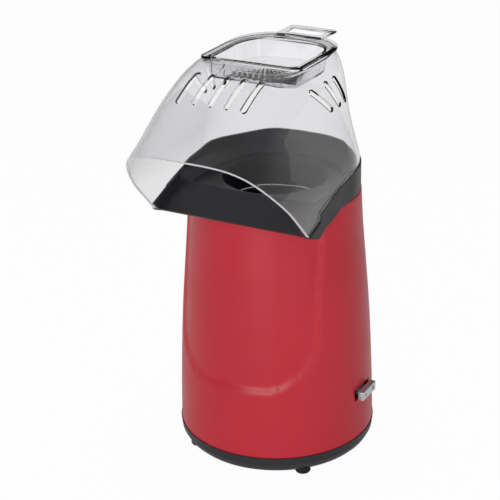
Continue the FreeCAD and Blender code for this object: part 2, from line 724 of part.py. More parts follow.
def make_heater_coil():
    return Part.makeCompound([coil_ring(r, n) for r, n in COIL_RINGS])


def make_thermostat():
    face_x = -(DUCT_IN_R + DUCT_T + 0.2)
    z = 128.0
    plate = block(face_x - 0.8, face_x, -13, 13, z - 5, z + 5)
    can = Part.makeCylinder(8.0, 5.0, vec(face_x - 0.8, 0, z), vec(-1, 0, 0))
    pins = [block(face_x - 11, face_x - 5, y - 0.4, y + 0.4, z - 1.6, z + 1.6) for y in (-5.0, 5.0)]
    return joined([plate, can] + pins)


def make_thermal_fuse():
    r = 2.0
    x = DUCT_IN_R + DUCT_T + 0.3 + r
    body = disc(r, 120, 131, x, 0)
    leads = disc(0.5, 114, 137, x, 0)
    return turned(joined([body, leads]), 125)


def make_rectifier_board():
    board = block(-BOARD_L / 2, BOARD_L / 2, BOARD_Y - BOARD_W / 2, BOARD_Y + BOARD_W / 2, 0, BOARD_T)
    board.translate(vec(0, 0, BOARD_Z))
    holes = [disc(1.3, 0, 40, x, BOARD_Y) for x in (-BOARD_POST_X, BOARD_POST_X)]
    return without(board, holes)


def make_rectifier_diodes():
    diodes = []
    z = BOARD_Z + BOARD_T + DIODE_R
    for i in range(4):
        y = BOARD_Y - 5.4 + 3.6 * i
        diodes.append(Part.makeCylinder(DIODE_R, DIODE_L, vec(-DIODE_L / 2, y, z), vec(1, 0, 0)))
    return Part.makeCompound(diodes)


def make_rectifier_screws():
    seat = BOARD_Z + BOARD_T
    places = (-BOARD_POST_X, BOARD_POST_X)
    return Part.makeCompound([screw(2.0, 1.4, BOARD_SCREW_R, 6.0, x, BOARD_Y, seat) for x in places])


def make_switch_body():
    half_w = SWITCH_BODY_W / 2 - 2
    half_h = SWITCH_BODY_H / 2
    z = SWITCH_Z
    body = block(SWITCH_BODY_BACK_X, SWITCH_BODY_FRONT_X, -half_w, half_w, z - half_h, z + half_h)
    well_h = SWITCH_HOLE_H / 2 - 0.3
    well = block(SWITCH_BODY_FRONT_X - 7, SWITCH_BODY_FRONT_X + 5, -9, 9, z - well_h, z + well_h)
    lugs = [
        block(SWITCH_BODY_FRONT_X - 1, LUG_FRONT_X, -4, 4, z + well_h, z + half_h),
        block(SWITCH_BODY_FRONT_X - 1, LUG_FRONT_X, -4, 4, z - half_h, z - well_h),
    ]
    back = SWITCH_BODY_BACK_X
    blades = [block(back - 8, back + 1, y - 3, y + 3, z - 0.4, z + 0.4) for y in (-8, 8)]
    pivot = disc(PIVOT_R + PIVOT_FIT, z - half_h + 1.2, z + half_h - 1.2, PIVOT_X, 0)
    return without(joined([body] + lugs + blades), [well, pivot])


def make_switch_rocker():
    half_l = BAR_L / 2
    half_h = BAR_H / 2
    z = SWITCH_Z
    bar = block(SWITCH_FACE_X - BAR_T, SWITCH_FACE_X, -half_l, half_l, z - half_h, z + half_h)
    long_edges = [e for e in bar.Edges if abs(e.CenterOfMass.x - SWITCH_FACE_X) < 0.01]
    bar = bar.makeFillet(0.8, long_edges)
    neck = block(PIVOT_X - 2.0, SWITCH_FACE_X - BAR_T + 1, -NECK_W / 2, NECK_W / 2, z - half_h, z + half_h)
    pin_half = SWITCH_BODY_H / 2 - 1.4
    pin = disc(PIVOT_R, z - pin_half, z + pin_half, PIVOT_X, 0)
    return joined([bar, neck, pin])


def u_block(half_w, z_low, z_high):
    """A round back half and straight sides that run out past the mouth."""
    back = disc(half_w, z_low, z_high)
    front = block(-half_w, half_w, -130, 0, z_low, z_high)
    return back.fuse(front).removeSplitter()


def u_ring(outer, inner, z_low, z_high):
    return u_block(outer, z_low, z_high).cut(u_block(inner, z_low - 1, z_high + 1))


def under_line(points, drop, floor_z):
    """Everything between floor_z and a (y, z) line lowered by drop."""
    top = [(y, z - drop) for y, z in points]
    return side_prism(top + [(points[-1][0], floor_z), (points[0][0], floor_z)])


def under_ramp(gap):
    """The (y, z) line of the chute ramp's underside, lowered by gap."""
    start_z = CHUTE_FLOOR_Z - CHUTE_FLOOR_T - gap
    lip_z = LIP_Z - CHUTE_FLOOR_T - gap
    return ((RAMP_START_Y + 1, start_z), (LIP_Y, lip_z), (-110.0, lip_z - 12.8))


def mouth_cutter():
    """Everything ahead of the leaning plane of the mouth."""
    low = 120.0
    high = 400.0
    y_low = MOUTH_Y + MOUTH_SLOPE * (MOUTH_Z - low)
    y_high = MOUTH_Y - MOUTH_SLOPE * (high - MOUTH_Z)
    return side_prism(((y_low, low), (y_high, high), (-600, high), (-600, low)))


def make_chute():
    z0 = HOUSING_TOP_Z
    floor_low = CHUTE_FLOOR_Z - CHUTE_FLOOR_T
    up_in = UPSTAND_HALF_W - UPSTAND_T
    inner_side = CHUTE_HALF_W - CHUTE_WALL_T
    seam = under_line(SEAM, SEAM_GAP, 150)
    shelf_cut = under_line(SEAM, SEAM_GAP + 2.5, 150)
    band = u_ring(CHUTE_HALF_W, inner_side, z0, 270).common(seam)
    skirt_side = side_prism(CHUTE_LOW + ((-90, 236.0), (-22, 236.0)))
    skirt = u_ring(CHUTE_HALF_W, inner_side, 200, 236).common(skirt_side).common(seam)
    shelf = u_ring(CHUTE_HALF_W, up_in, 200, 270).common(seam).cut(shelf_cut)
    upstand = u_ring(UPSTAND_HALF_W, up_in, 200, 270).common(under_line(UPSTAND_TOP, 0, 200))
    ramp_line = ((RAMP_START_Y, CHUTE_FLOOR_Z), (LIP_Y, LIP_Z), (-110.0, LIP_Z - 12.8))
    below_ramp = under_ramp(0.0)
    above = ((90, floor_low), (90, 300), (-130, 300), (-130, below_ramp[-1][1] - 8))
    keep_up = side_prism(above + below_ramp[::-1])
    upstand = upstand.common(keep_up)
    floor = u_block(UPSTAND_HALF_W - 0.5, floor_low, CHUTE_FLOOR_Z)
    floor = floor.common(block(-90, 90, RAMP_START_Y, 90, 0, 300))
    ramp = side_prism(ramp_line + below_ramp[::-1], UPSTAND_HALF_W - 0.5)
    bowl_low = CHUTE_FLOOR_Z - 0.5
    bowl = spun(((BOWL_IN_R, bowl_low), (up_in + 0.5, bowl_low), (up_in + 0.5, BOWL_TOP_Z)))
    bowl = bowl.common(block(-90, 90, 0, 90, 0, 300))
    wedge = Part.Face(
        Part.makePolygon(
            [
                vec(BOWL_IN_R, RAMP_START_Y, bowl_low),
                vec(up_in + 0.5, RAMP_START_Y, bowl_low),
                vec(up_in + 0.5, RAMP_START_Y, BOWL_TOP_Z),
                vec(BOWL_IN_R, RAMP_START_Y, bowl_low),
            ]
        )
    ).extrude(vec(0, -RAMP_START_Y, 0))
    other_wedge = wedge.mirror(vec(0, 0, 0), vec(1, 0, 0))
    over_ramp = side_prism(ramp_line + ((-110.0, 300.0), (RAMP_START_Y, 300.0)))
    throat = disc(THROAT_IN_R + THROAT_T, THROAT_BOTTOM_Z, CHUTE_FLOOR_Z).cut(over_ramp)
    spigot = ring(SPIGOT_R, SPIGOT_R - SPIGOT_T, SPIGOT_BOTTOM_Z, floor_low + 0.5).cut(over_ramp)
    bed = ring(120, SPIGOT_R + 0.01, 150, z0)
    bed = bed.common(disc(HOUSING_PROFILE[-1][1] + SEAT_GAP, 150, z0))
    collar = joined([band, skirt, shelf]).cut(bed)
    body = joined([collar, upstand, floor, ramp, bowl, wedge, other_wedge, throat, spigot])
    return without(body, [disc(THROAT_IN_R, 200, 260), mouth_cutter()])


def inset_rows(rows, thickness, column):
    """One column of the hood's sections drawn in square to its own slope."""
    line = []
    for i, row in enumerate(rows):
        before = rows[max(i - 1, 0)]
        after = rows[min(i + 1, len(rows) - 1)]
        dz = after[0] - before[0]
        dw = after[column] - before[column]
        size = math.hypot(dz, dw)
        line.append((row[0] + thickness * dw / size, row[column] - thickness * dz / size))
    return line


def inner_sections():
    lines = [inset_rows(HOOD_SECTIONS, HOOD_T, column) for column in (1, 2, 3)]
    top = HOOD_TOP_Z - HOOD_T
    rows = []
    for row in HOOD_SECTIONS[:-3]:
        z = row[0] - HOOD_T * (row[0] - 205) / (HOOD_TOP_Z - 205)
        rows.append((z,) + tuple(at_height(line, z) for line in lines))
    last = rows[-1]
    rows.append(((last[0] + top) / 2, last[1] - 1.4, last[2] - 0.9, last[3] - 7.0))
    rows.append((top, last[1] - 3.4, last[2] - 2.2, last[3] - 16.0))
    return rows


def section_wire(z, half_w, back, front):
    low = HOOD_SECTIONS[2][0]
    share = min(max((z - low) / (HOOD_TOP_Z - low), 0.0), 1.0)
    power = BACK_POWER_LOW + (BACK_POWER_TOP - BACK_POWER_LOW) * share
    quarter = []
    for d in (12, 24, 36, 48, 58, 66, 72, 77, 81, 84.5, 87.5):
        u = math.sin(math.radians(d))
        quarter.append((half_w * (1 - u**FRONT_POWER) ** (1 / FRONT_POWER), -front * u))
    rear = []
    for d in (15, 30, 45, 60, 75):
        c = math.cos(math.radians(d))
        s = math.sin(math.radians(d))
        rear.append((half_w * c ** (2 / power), back * s ** (2 / power)))
    right = [(half_w, 0.0)] + quarter
    left = [(-x, y) for x, y in reversed(quarter)] + [(-half_w, 0.0)]
    rear_left = [(-x, y) for x, y in rear]
    rear_right = list(reversed(rear))
    outline = right + [(0.0, -front)] + left + rear_left + [(0.0, back)] + rear_right
    curve = Part.BSplineCurve()
    curve.interpolate(Points=[vec(x, y, z) for x, y in outline], PeriodicFlag=True)
    return Part.Wire([curve.toShape()])


def hood_solid(rows):
    return Part.makeLoft([section_wire(*row) for row in rows], True, False)


def d_wire(half_w, front_y, back_y, z, corner):
    """A flat front edge, straight sides and a round back."""
    k = corner * (1 - math.sqrt(0.5))
    turn_y = 4.0
    reach = back_y - turn_y
    rear = []
    for i in range(13):
        a = math.pi * i / 12
        c = math.cos(a)
        s = math.sin(a)
        x = half_w * math.copysign(abs(c) ** 0.80, c)
        rear.append(vec(x, turn_y + reach * abs(s) ** 0.80, z))
    edges = [
        spline_edge(rear),
        Part.makeLine(vec(-half_w, turn_y, z), vec(-half_w, front_y + corner, z)),
        Part.Arc(
            vec(-half_w, front_y + corner, z),
            vec(-half_w + k, front_y + k, z),
            vec(-half_w + corner, front_y, z),
        ).toShape(),
        Part.makeLine(vec(-half_w + corner, front_y, z), vec(half_w - corner, front_y, z)),
        Part.Arc(
            vec(half_w - corner, front_y, z),
            vec(half_w - k, front_y + k, z),
            vec(half_w, front_y + corner, z),
        ).toShape(),
        Part.makeLine(vec(half_w, front_y + corner, z), vec(half_w, turn_y, z)),
    ]
    return Part.Wire(edges)


def d_prism(grow, z_low, z_high):
    wire = d_wire(CUP_HALF_W + grow, CUP_FRONT_Y - grow, CUP_BACK_Y + grow, z_low, CUP_CORNER_R)
    return Part.Face(wire).extrude(vec(0, 0, z_high - z_low))


def slot_cutter(start, end, through):
    """A round-ended slot between two points, run along the through direction both ways."""
    reach = through.normalize() * 9
    r = SLOT_W / 2
    ends = [Part.makeCylinder(r, 18, p - reach, reach) for p in (start, end)]
    along = (end - start).normalize()
    across = along.cross(reach).normalize() * r
    corners = [start - across - reach, start + across - reach, end + across - reach, end - across - reach]
    web = Part.Face(Part.makePolygon(corners + corners[:1])).extrude(reach * 2)
    return ends + [web]


def hood_front_z(y):
    line = [(-row[3], row[0]) for row in HOOD_SECTIONS]
    return at_height(line, y)


def make_hood():
    body = hood_solid(HOOD_SECTIONS).cut(hood_solid(inner_sections()))
    below = under_line(SEAM, 0, 100)
    front = block(-120, 120, -400, -FRONT_Y, 100, 400)
    body = without(body, [below, mouth_cutter(), front, d_prism(CUP_GAP, 330, 350)])
    cutters = []
    for i in range(TOP_SLOTS):
        x = (i - (TOP_SLOTS - 1) / 2) * TOP_SLOT_PITCH
        low = vec(x, TOP_SLOT_FRONT_Y, hood_front_z(TOP_SLOT_FRONT_Y))
        high = vec(x, TOP_SLOT_BACK_Y, hood_front_z(TOP_SLOT_BACK_Y))
        cutters += slot_cutter(low, high, vec(0, -0.42, 1))
    widths = [(row[0], row[1]) for row in HOOD_SECTIONS]
    for y_high, y_low in SIDE_SLOTS:
        for side in (-1, 1):
            high = vec(side * at_height(widths, SIDE_SLOT_HIGH_Z), y_high, SIDE_SLOT_HIGH_Z)
            low = vec(side * at_height(widths, SIDE_SLOT_LOW_Z), y_low, SIDE_SLOT_LOW_Z)
            cutters += slot_cutter(high, low, vec(side, 0, 0.24))
    for cutter in cutters:
        body = body.cut(cutter)
    return body


def make_cup():
    top = CUP_TOP_Z
    shrink = CUP_DRAFT
    outer = Part.makeLoft(
        [
            d_wire(
                CUP_HALF_W - shrink,
                CUP_FRONT_Y + shrink,
                CUP_BACK_Y - shrink,
                CUP_BOTTOM_Z,
                CUP_CORNER_R,
            ),
            d_wire(CUP_HALF_W, CUP_FRONT_Y, CUP_BACK_Y, top, CUP_CORNER_R),
        ],
        True,
        True,
    )
    low = shrink + CUP_T
    corner = CUP_CORNER_R - CUP_T
    inner = Part.makeLoft(
        [
            d_wire(CUP_HALF_W - low, CUP_FRONT_Y + low, CUP_BACK_Y - low, CUP_BOTTOM_Z + CUP_T, corner),
            d_wire(CUP_HALF_W - CUP_T, CUP_FRONT_Y + CUP_T, CUP_BACK_Y - CUP_T, top + 0.5, corner),
        ],
        True,
        True,
    )
    rim = d_wire(CUP_FLANGE_HALF_W, CUP_FLANGE_FRONT_Y, CUP_FLANGE_BACK_Y, CUP_SEAT_Z, CUP_CORNER_R + 3)
    flange = Part.Face(rim).extrude(vec(0, 0, FLANGE_T))
    tab = block(-TAB_HALF_W, TAB_HALF_W, CUP_FLANGE_BACK_Y - 22, TAB_BACK_Y, CUP_SEAT_Z, top)
    far = [e for e in tab.Edges if abs(e.CenterOfMass.y - TAB_BACK_Y) < 0.01]
    corners = [e for e in far if e.Length < FLANGE_T + 0.1]
    tab = tab.makeFillet(4.0, corners)
    gap_half = TAB_HALF_W - TAB_ARM_W
    gap_back = TAB_BACK_Y - TAB_BAR_W
    gap = block(-gap_half, gap_half, CUP_FLANGE_BACK_Y + 1, gap_back, HOOD_TOP_Z - 1, top + 1)
    body = joined([outer, flange, tab]).cut(inner).cut(gap)
    holes = []
    for i in range(DRIP_HOLES):
        x = (i - (DRIP_HOLES - 1) / 2) * DRIP_PITCH
        holes.append(disc(DRIP_HOLE_R, CUP_BOTTOM_Z - 1, CUP_BOTTOM_Z + 4, x, CUP_FRONT_Y + 9))
    return without(body, holes)


NODES = {
    "base_plate": make_base_plate,
    "feet": make_feet,
    "base_screws": make_base_screws,
    "housing": make_housing,
    "deck_ring": make_deck_ring,
    "deck_screws": make_deck_screws,
    "air_duct": make_air_duct,
    "popping_chamber": make_chamber,
    "chamber_screws": make_chamber_screws,
    "blower_housing": make_blower_housing,
    "fan": make_fan,
    "motor_can": make_motor_can,
    "motor_end_cap": make_motor_end_cap,
    "motor_magnets": make_motor_magnets,
    "motor_core": make_motor_core,
    "motor_windings": make_motor_windings,
    "motor_commutator": make_motor_commutator,
    "motor_brushes": make_motor_brushes,
    "motor_shaft": make_motor_shaft,
    "motor_bushes": make_motor_bushes,
    "motor_screws": make_motor_screws,
    "mica_cards": make_mica_cards,
    "heater_coil": make_heater_coil,
    "thermostat": make_thermostat,
    "thermal_fuse": make_thermal_fuse,
    "rectifier_board": make_rectifier_board,
    "rectifier_diodes": make_rectifier_diodes,
    "rectifier_screws": make_rectifier_screws,
    "switch_body": make_switch_body,
    "switch_rocker": make_switch_rocker,
    "chute": make_chute,
    "hood": make_hood,
    "measuring_cup": make_cup,
}

os.makedirs("parts", exist_ok=True)
for name, make in NODES.items():
    shape = make()
    solids = shape.Solids
    shape = solids[0] if len(solids) == 1 else Part.makeCompound(solids)
    shape.translate(vec(MOVE_X, MOVE_Y, 0))
    shape.exportStep("parts/" + name + ".step")
    box = shape.BoundBox
    size = (box.XLength, box.YLength, box.ZLength)
    print(name, len(solids), shape.isValid(), "%.1f %.1f %.1f" % size, "%.0f mm3" % shape.Volume)
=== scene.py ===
# %% [markdown]
# # A hot-air popcorn maker
#
# The machine blows hot air through a small metal cup, and the popped corn rises
# into a clear hood, turns over a black chute and falls out at the front.
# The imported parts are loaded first. They fix every size and place, so each new
# piece in this lesson is made where its part already stands.

import math

import bmesh
import bpy
from mathutils import Matrix, Quaternion, Vector


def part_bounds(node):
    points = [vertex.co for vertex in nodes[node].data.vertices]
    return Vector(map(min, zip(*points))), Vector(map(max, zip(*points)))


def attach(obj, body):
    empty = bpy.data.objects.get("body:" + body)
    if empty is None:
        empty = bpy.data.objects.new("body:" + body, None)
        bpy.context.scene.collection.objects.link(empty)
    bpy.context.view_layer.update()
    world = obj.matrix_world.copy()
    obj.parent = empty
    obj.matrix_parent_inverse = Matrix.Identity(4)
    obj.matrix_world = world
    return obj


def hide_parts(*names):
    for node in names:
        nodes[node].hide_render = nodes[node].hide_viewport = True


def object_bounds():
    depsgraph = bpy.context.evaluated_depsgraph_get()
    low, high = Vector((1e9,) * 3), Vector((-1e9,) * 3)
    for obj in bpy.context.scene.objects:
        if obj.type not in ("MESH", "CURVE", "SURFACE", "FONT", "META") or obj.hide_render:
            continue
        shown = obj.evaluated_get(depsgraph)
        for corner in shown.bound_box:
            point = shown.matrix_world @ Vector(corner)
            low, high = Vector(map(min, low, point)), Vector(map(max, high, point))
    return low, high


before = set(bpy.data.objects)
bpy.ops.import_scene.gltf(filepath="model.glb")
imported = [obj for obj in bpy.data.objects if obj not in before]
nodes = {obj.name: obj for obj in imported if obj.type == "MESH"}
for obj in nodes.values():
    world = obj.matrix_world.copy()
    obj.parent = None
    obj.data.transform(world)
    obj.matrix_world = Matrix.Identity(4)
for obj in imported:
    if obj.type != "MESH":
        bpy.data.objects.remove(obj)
part_box = [list(corner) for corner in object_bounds()]
print("parts", len(nodes), "box", [[round(v, 4) for v in c] for c in part_box])

# %% [markdown]
# The camera looks down at the machine from its front right side, from a little
# more than a metre away, through a long lens. A long lens keeps the upright
# sides of the body almost parallel, as they look across a room.

# %% Camera
CAMERA_PLACE = Vector((0.5483, -1.0114, 0.6809))
LOOK_AT = Vector((-0.0209, 0.0222, 0.1721))
CAMERA_ROLL = -1.02
LENS_MM = 111.1

camera = bpy.data.objects.new("camera", bpy.data.cameras.new("camera"))
bpy.context.scene.collection.objects.link(camera)
camera.location = CAMERA_PLACE
camera.rotation_mode = "QUATERNION"
aim = (LOOK_AT - CAMERA_PLACE).to_track_quat("-Z", "Y")
camera.rotation_quaternion = aim @ Quaternion((0, 0, 1), math.radians(CAMERA_ROLL))
camera.data.lens = LENS_MM
camera.data.sensor_width = 36.0
bpy.context.scene.camera = camera
bpy.context.scene.view_settings.view_transform = "Standard"
print("camera", round((LOOK_AT - CAMERA_PLACE).length, 3), "m away")

# %% [markdown]
# The room, the floor and every finish are small networks of nodes. A few
# helpers keep them short to write: a node that calculates, one that maps one
# range of values onto another, and one that blends two values. Each value may
# be a plain number or the output of another node.

# %% Node helpers
def feed(tree, socket, value):
    """Sets a socket to a number, or links another node's output to it."""
    if isinstance(value, float):
        socket.default_value = value
    else:
        tree.links.new(value, socket)


def calculate(tree, operation, *values, clamp=False):
    made = tree.nodes.new("ShaderNodeMath")
    made.operation = operation
    made.use_clamp = clamp
    for socket, value in zip(made.inputs, values):
        feed(tree, socket, value)
    return made.outputs["Value"]


def ramp(tree, value, start, end, low, high):
    """Maps a value that runs from start to end onto low to high."""
    made = tree.nodes.new("ShaderNodeMapRange")
    limits = {"From Min": start, "From Max": end, "To Min": low, "To Max": high}
    for socket, limit in limits.items():
        made.inputs[socket].default_value = limit
    tree.links.new(value, made.inputs["Value"])
    return made.outputs["Result"]


def blend(tree, amount, first, second):
    made = tree.nodes.new("ShaderNodeMix")
    feed(tree, made.inputs["Factor"], amount)
    feed(tree, made.inputs["A"], first)
    feed(tree, made.inputs["B"], second)
    return made.outputs["Result"]


print("node helpers", [tool.__name__ for tool in (feed, calculate, ramp, blend)])

# %% [markdown]
# A shiny product shows its surroundings, so the room matters as much as the
# lamps. What the surfaces mirror is a pale wall that fades upwards to a dark
# ceiling: a ceiling as bright as the wall would lay a milky haze over every
# clear and glossy face. The wall behind the machine is dimmer too, so that the
# sides keep their colour up to the edge. Light Path tells these rays apart.

# %% Room that the surfaces mirror
AMBIENT = 0.34
WALL_LEVEL = 0.7
CEILING = 0.08
WALL_FADE = (0.04, 0.30)
BACK_SHARE = 0.3
BACK_FADE = (-0.35, 0.45)

world = bpy.data.worlds.new("studio")
bpy.context.scene.world = world
world.use_nodes = True
room = world.node_tree
ray = room.nodes.new("ShaderNodeLightPath").outputs
direction = room.nodes.new("ShaderNodeTexCoord")
way = room.nodes.new("ShaderNodeSeparateXYZ")
room.links.new(direction.outputs["Generated"], way.inputs["Vector"])
wall = ramp(room, way.outputs["Z"], *WALL_FADE, WALL_LEVEL, CEILING)
dimmer_behind = ramp(room, way.outputs["Y"], *BACK_FADE, 1.0, BACK_SHARE)
wall_level = calculate(room, "MULTIPLY", wall, dimmer_behind)
mirrored = blend(room, ray["Is Glossy Ray"], AMBIENT, wall_level)
print("wall", WALL_LEVEL, "ceiling", CEILING, "light on matt faces", AMBIENT)

# %% [markdown]
# To the eye, and through clear plastic, the room is plain white. A ray that has
# bounced off a piece before it passes through the hood would bring that white
# back as haze, so the depths that Light Path counts take it away again.

# %% Room that the eye sees
GLINT_SHARE = 0.35
SCATTER_SHARE = 0.45

scattered = calculate(room, "MULTIPLY", ray["Diffuse Depth"], SCATTER_SHARE)
bounced = calculate(
    room, "MULTIPLY_ADD", ray["Glossy Depth"], GLINT_SHARE, scattered, clamp=True
)
through = calculate(room, "SUBTRACT", ray["Is Transmission Ray"], bounced, clamp=True)
seen = calculate(room, "MAXIMUM", ray["Is Camera Ray"], through)
background = room.nodes["Background"]
background.inputs["Color"].default_value = (1.0, 1.0, 1.0, 1.0)
room.links.new(blend(room, seen, mirrored, 1.0), background.inputs["Strength"])
print("room nodes", len(room.nodes))

# %% [markdown]
# The lamps are large and soft, like the cloth boxes of a product studio: one low
# in front, one at each side and one overhead. The low front lamp is the one
# that shows in the sloping foot of the sunk panel. The overhead lamp shows in no
# gloss, and none of them shows through the clear hood as a white shape.

# %% Lamps
AIM = Vector((0.0, 0.0, 0.17))


def lamp(name, place, size, power):
    light = bpy.data.lights.new(name, "AREA")
    light.shape = "RECTANGLE"
    light.size, light.size_y = size
    light.energy = power
    made = bpy.data.objects.new(name, light)
    bpy.context.scene.collection.objects.link(made)
    made.location = place
    made.rotation_euler = (AIM - Vector(place)).to_track_quat("-Z", "Y").to_euler()
    made.visible_transmission = False
    print(name, power, "W")
    return made


lamp("front_lamp", (0.25, -1.40, 0.30), (0.8, 0.35), 7.4)
lamp("left_lamp", (-1.25, -0.27, 0.40), (0.12, 0.9), 1.6)
lamp("right_lamp", (1.15, -0.75, 0.45), (0.35, 0.8), 2.6)
top_lamp = lamp("top_lamp", (-0.1, 0.25, 1.4), (0.9, 0.9), 5.0)
top_lamp.visible_glossy = False

# %% [markdown]
# The floor is one pale sheet. Part of its brightness is given to it directly,
# so that it runs into the white room without an edge, and the rest comes from
# the lamps, so that the machine still stands in its own soft shadow. Glossy
# faces mirror only a quarter of what it is given, or they would turn milky.

# %% Floor
FLOOR_SIZE = 12.0
FLOOR_OWN_SHARE = 0.97
FLOOR_GLOSS_SHARE = 0.25
PAPER = (0.86, 0.86, 0.86, 1.0)

bpy.ops.object.select_all(action="DESELECT")
bpy.ops.mesh.primitive_plane_add(size=FLOOR_SIZE, location=(0, 0, part_box[0][2]))
floor = bpy.context.object
floor.name = "floor"
paper = bpy.data.materials.new("paper")
paper.use_nodes = True
floor.data.materials.append(paper)
sheet = paper.node_tree
matt = sheet.nodes["Principled BSDF"]
matt.inputs["Base Color"].default_value = PAPER
matt.inputs["Roughness"].default_value = 0.9
ray = sheet.nodes.new("ShaderNodeLightPath").outputs
direct = calculate(sheet, "MAXIMUM", ray["Is Camera Ray"], ray["Is Transmission Ray"])
in_gloss = calculate(sheet, "MULTIPLY", ray["Is Glossy Ray"], FLOOR_GLOSS_SHARE)
either = calculate(sheet, "MAXIMUM", direct, in_gloss)
own = sheet.nodes.new("ShaderNodeEmission")
mixed = sheet.nodes.new("ShaderNodeMixShader")
sheet.links.new(calculate(sheet, "MULTIPLY", either, FLOOR_OWN_SHARE), mixed.inputs["Fac"])
sheet.links.new(matt.outputs["BSDF"], mixed.inputs[1])
sheet.links.new(own.outputs["Emission"], mixed.inputs[2])
sheet.links.new(mixed.outputs["Shader"], sheet.nodes["Material Output"].inputs["Surface"])
print("floor at", round(part_box[0][2], 4))

# %% [markdown]
# Every finish starts from the Principled shader. Values that are the same all
# over sit on the shader itself, and nodes add what varies: a faint mottle in
# the colour, patches of more and less gloss, and a fine relief. Patterns read
# Object coordinates, so their grain has one real size on every piece.

# %% Finish helpers: shader and patterns
EVEN = (1.0, 1.0, 1.0)


def finish(name, colour, roughness, metallic=0.0, **own_values):
    made = bpy.data.materials.new(name)
    made.use_nodes = True
    shader = made.node_tree.nodes["Principled BSDF"]
    shader.inputs["Base Color"].default_value = (*colour, 1.0)
    shader.inputs["Roughness"].default_value = roughness
    shader.inputs["Metallic"].default_value = metallic
    for socket, value in own_values.items():
        shader.inputs[socket.replace("_", " ")].default_value = value
    return made


def place_of(mat, stretch=EVEN):
    """Object coordinates, stretched, as the output that a pattern reads."""
    coords = mat.node_tree.nodes.new("ShaderNodeTexCoord")
    mapping = mat.node_tree.nodes.new("ShaderNodeMapping")
    mapping.inputs["Scale"].default_value = stretch
    mat.node_tree.links.new(coords.outputs["Object"], mapping.inputs["Vector"])
    return mapping.outputs["Vector"]


def noise(mat, scale, detail=3.0, stretch=EVEN):
    made = mat.node_tree.nodes.new("ShaderNodeTexNoise")
    made.inputs["Scale"].default_value = scale
    made.inputs["Detail"].default_value = detail
    mat.node_tree.links.new(place_of(mat, stretch), made.inputs["Vector"])
    return made.outputs["Fac"]


def bands(mat, scale, axis="Z", warp=0.0):
    made = mat.node_tree.nodes.new("ShaderNodeTexWave")
    made.bands_direction = axis
    made.inputs["Scale"].default_value = scale
    made.inputs["Distortion"].default_value = warp
    mat.node_tree.links.new(place_of(mat), made.inputs["Vector"])
    return made.outputs["Fac"]


print("patterns", [pattern.__name__ for pattern in (noise, bands)])


# %% Finish helpers: colour, gloss and relief
def set_socket(mat, socket, value):
    shader = mat.node_tree.nodes["Principled BSDF"]
    mat.node_tree.links.new(value, shader.inputs[socket])


def two_tone(mat, amount, first, second):
    """A colour that runs from first to second as the amount goes from 0 to 1."""
    mix = mat.node_tree.nodes.new("ShaderNodeMix")
    mix.data_type = "RGBA"
    mix.inputs["A"].default_value = (*first, 1.0)
    mix.inputs["B"].default_value = (*second, 1.0)
    mat.node_tree.links.new(amount, mix.inputs["Factor"])
    return mix


def mottle(mat, value, first, second, start=0.35, end=0.65):
    """The base colour runs from first to second as the pattern's value rises."""
    amount = ramp(mat.node_tree, value, start, end, 0.0, 1.0)
    mix = two_tone(mat, amount, first, second)
    set_socket(mat, "Base Color", mix.outputs["Result"])
    return mix


def gloss(mat, value, low, high):
    """The roughness runs from low to high as the pattern's value rises."""
    set_socket(mat, "Roughness", ramp(mat.node_tree, value, 0.3, 0.7, low, high))


def relief(mat, value, depth, strength=1.0):
    """Raises and sinks the surface by at most the depth, in metres."""
    bump = mat.node_tree.nodes.new("ShaderNodeBump")
    bump.inputs["Distance"].default_value = depth
    bump.inputs["Strength"].default_value = strength
    mat.node_tree.links.new(value, bump.inputs["Height"])
    set_socket(mat, "Normal", bump.outputs["Normal"])


print("effects", [effect.__name__ for effect in (mottle, gloss, relief)])

# %% [markdown]
# The body is moulded in red plastic with a satin gloss. One even colour and
# gloss would do from afar, but near by it looks like glass. A faint ripple in
# the skin and slight changes of gloss give it the look of a moulding. The black
# pieces share one mould texture: duller, with a fine grain.


# %% Moulded plastics
def red_plastic():
    made = finish("red_plastic", (0.555, 0.021, 0.039), 0.32, Specular_IOR_Level=0.3)
    mottle(made, noise(made, 9.0, 2.0), (0.52, 0.021, 0.036), (0.56, 0.025, 0.042))
    gloss(made, noise(made, 35.0, 4.0), 0.30, 0.39)
    relief(made, noise(made, 260.0, 2.0), 0.0002, 0.06)
    return made


def black_plastic(name, roughness, colour=(0.025, 0.025, 0.030)):
    made = finish(name, colour, roughness, Specular_IOR_Level=0.25)
    lighter = tuple(c * 1.25 for c in colour)
    darker = tuple(c * 0.85 for c in colour)
    mottle(made, noise(made, 14.0), darker, lighter)
    gloss(made, noise(made, 60.0, 4.0), roughness - 0.05, roughness + 0.07)
    relief(made, noise(made, 2600.0, 2.0), 0.00008, 0.22)
    return made


RED = red_plastic()
BLACK = black_plastic("black_plastic", 0.36)
LINER = black_plastic("liner_plastic", 0.55, (0.018, 0.018, 0.019))
RUBBER = black_plastic("rubber", 0.72, (0.016, 0.016, 0.017))
print("moulded", [made.name for made in (RED, BLACK, LINER, RUBBER)])
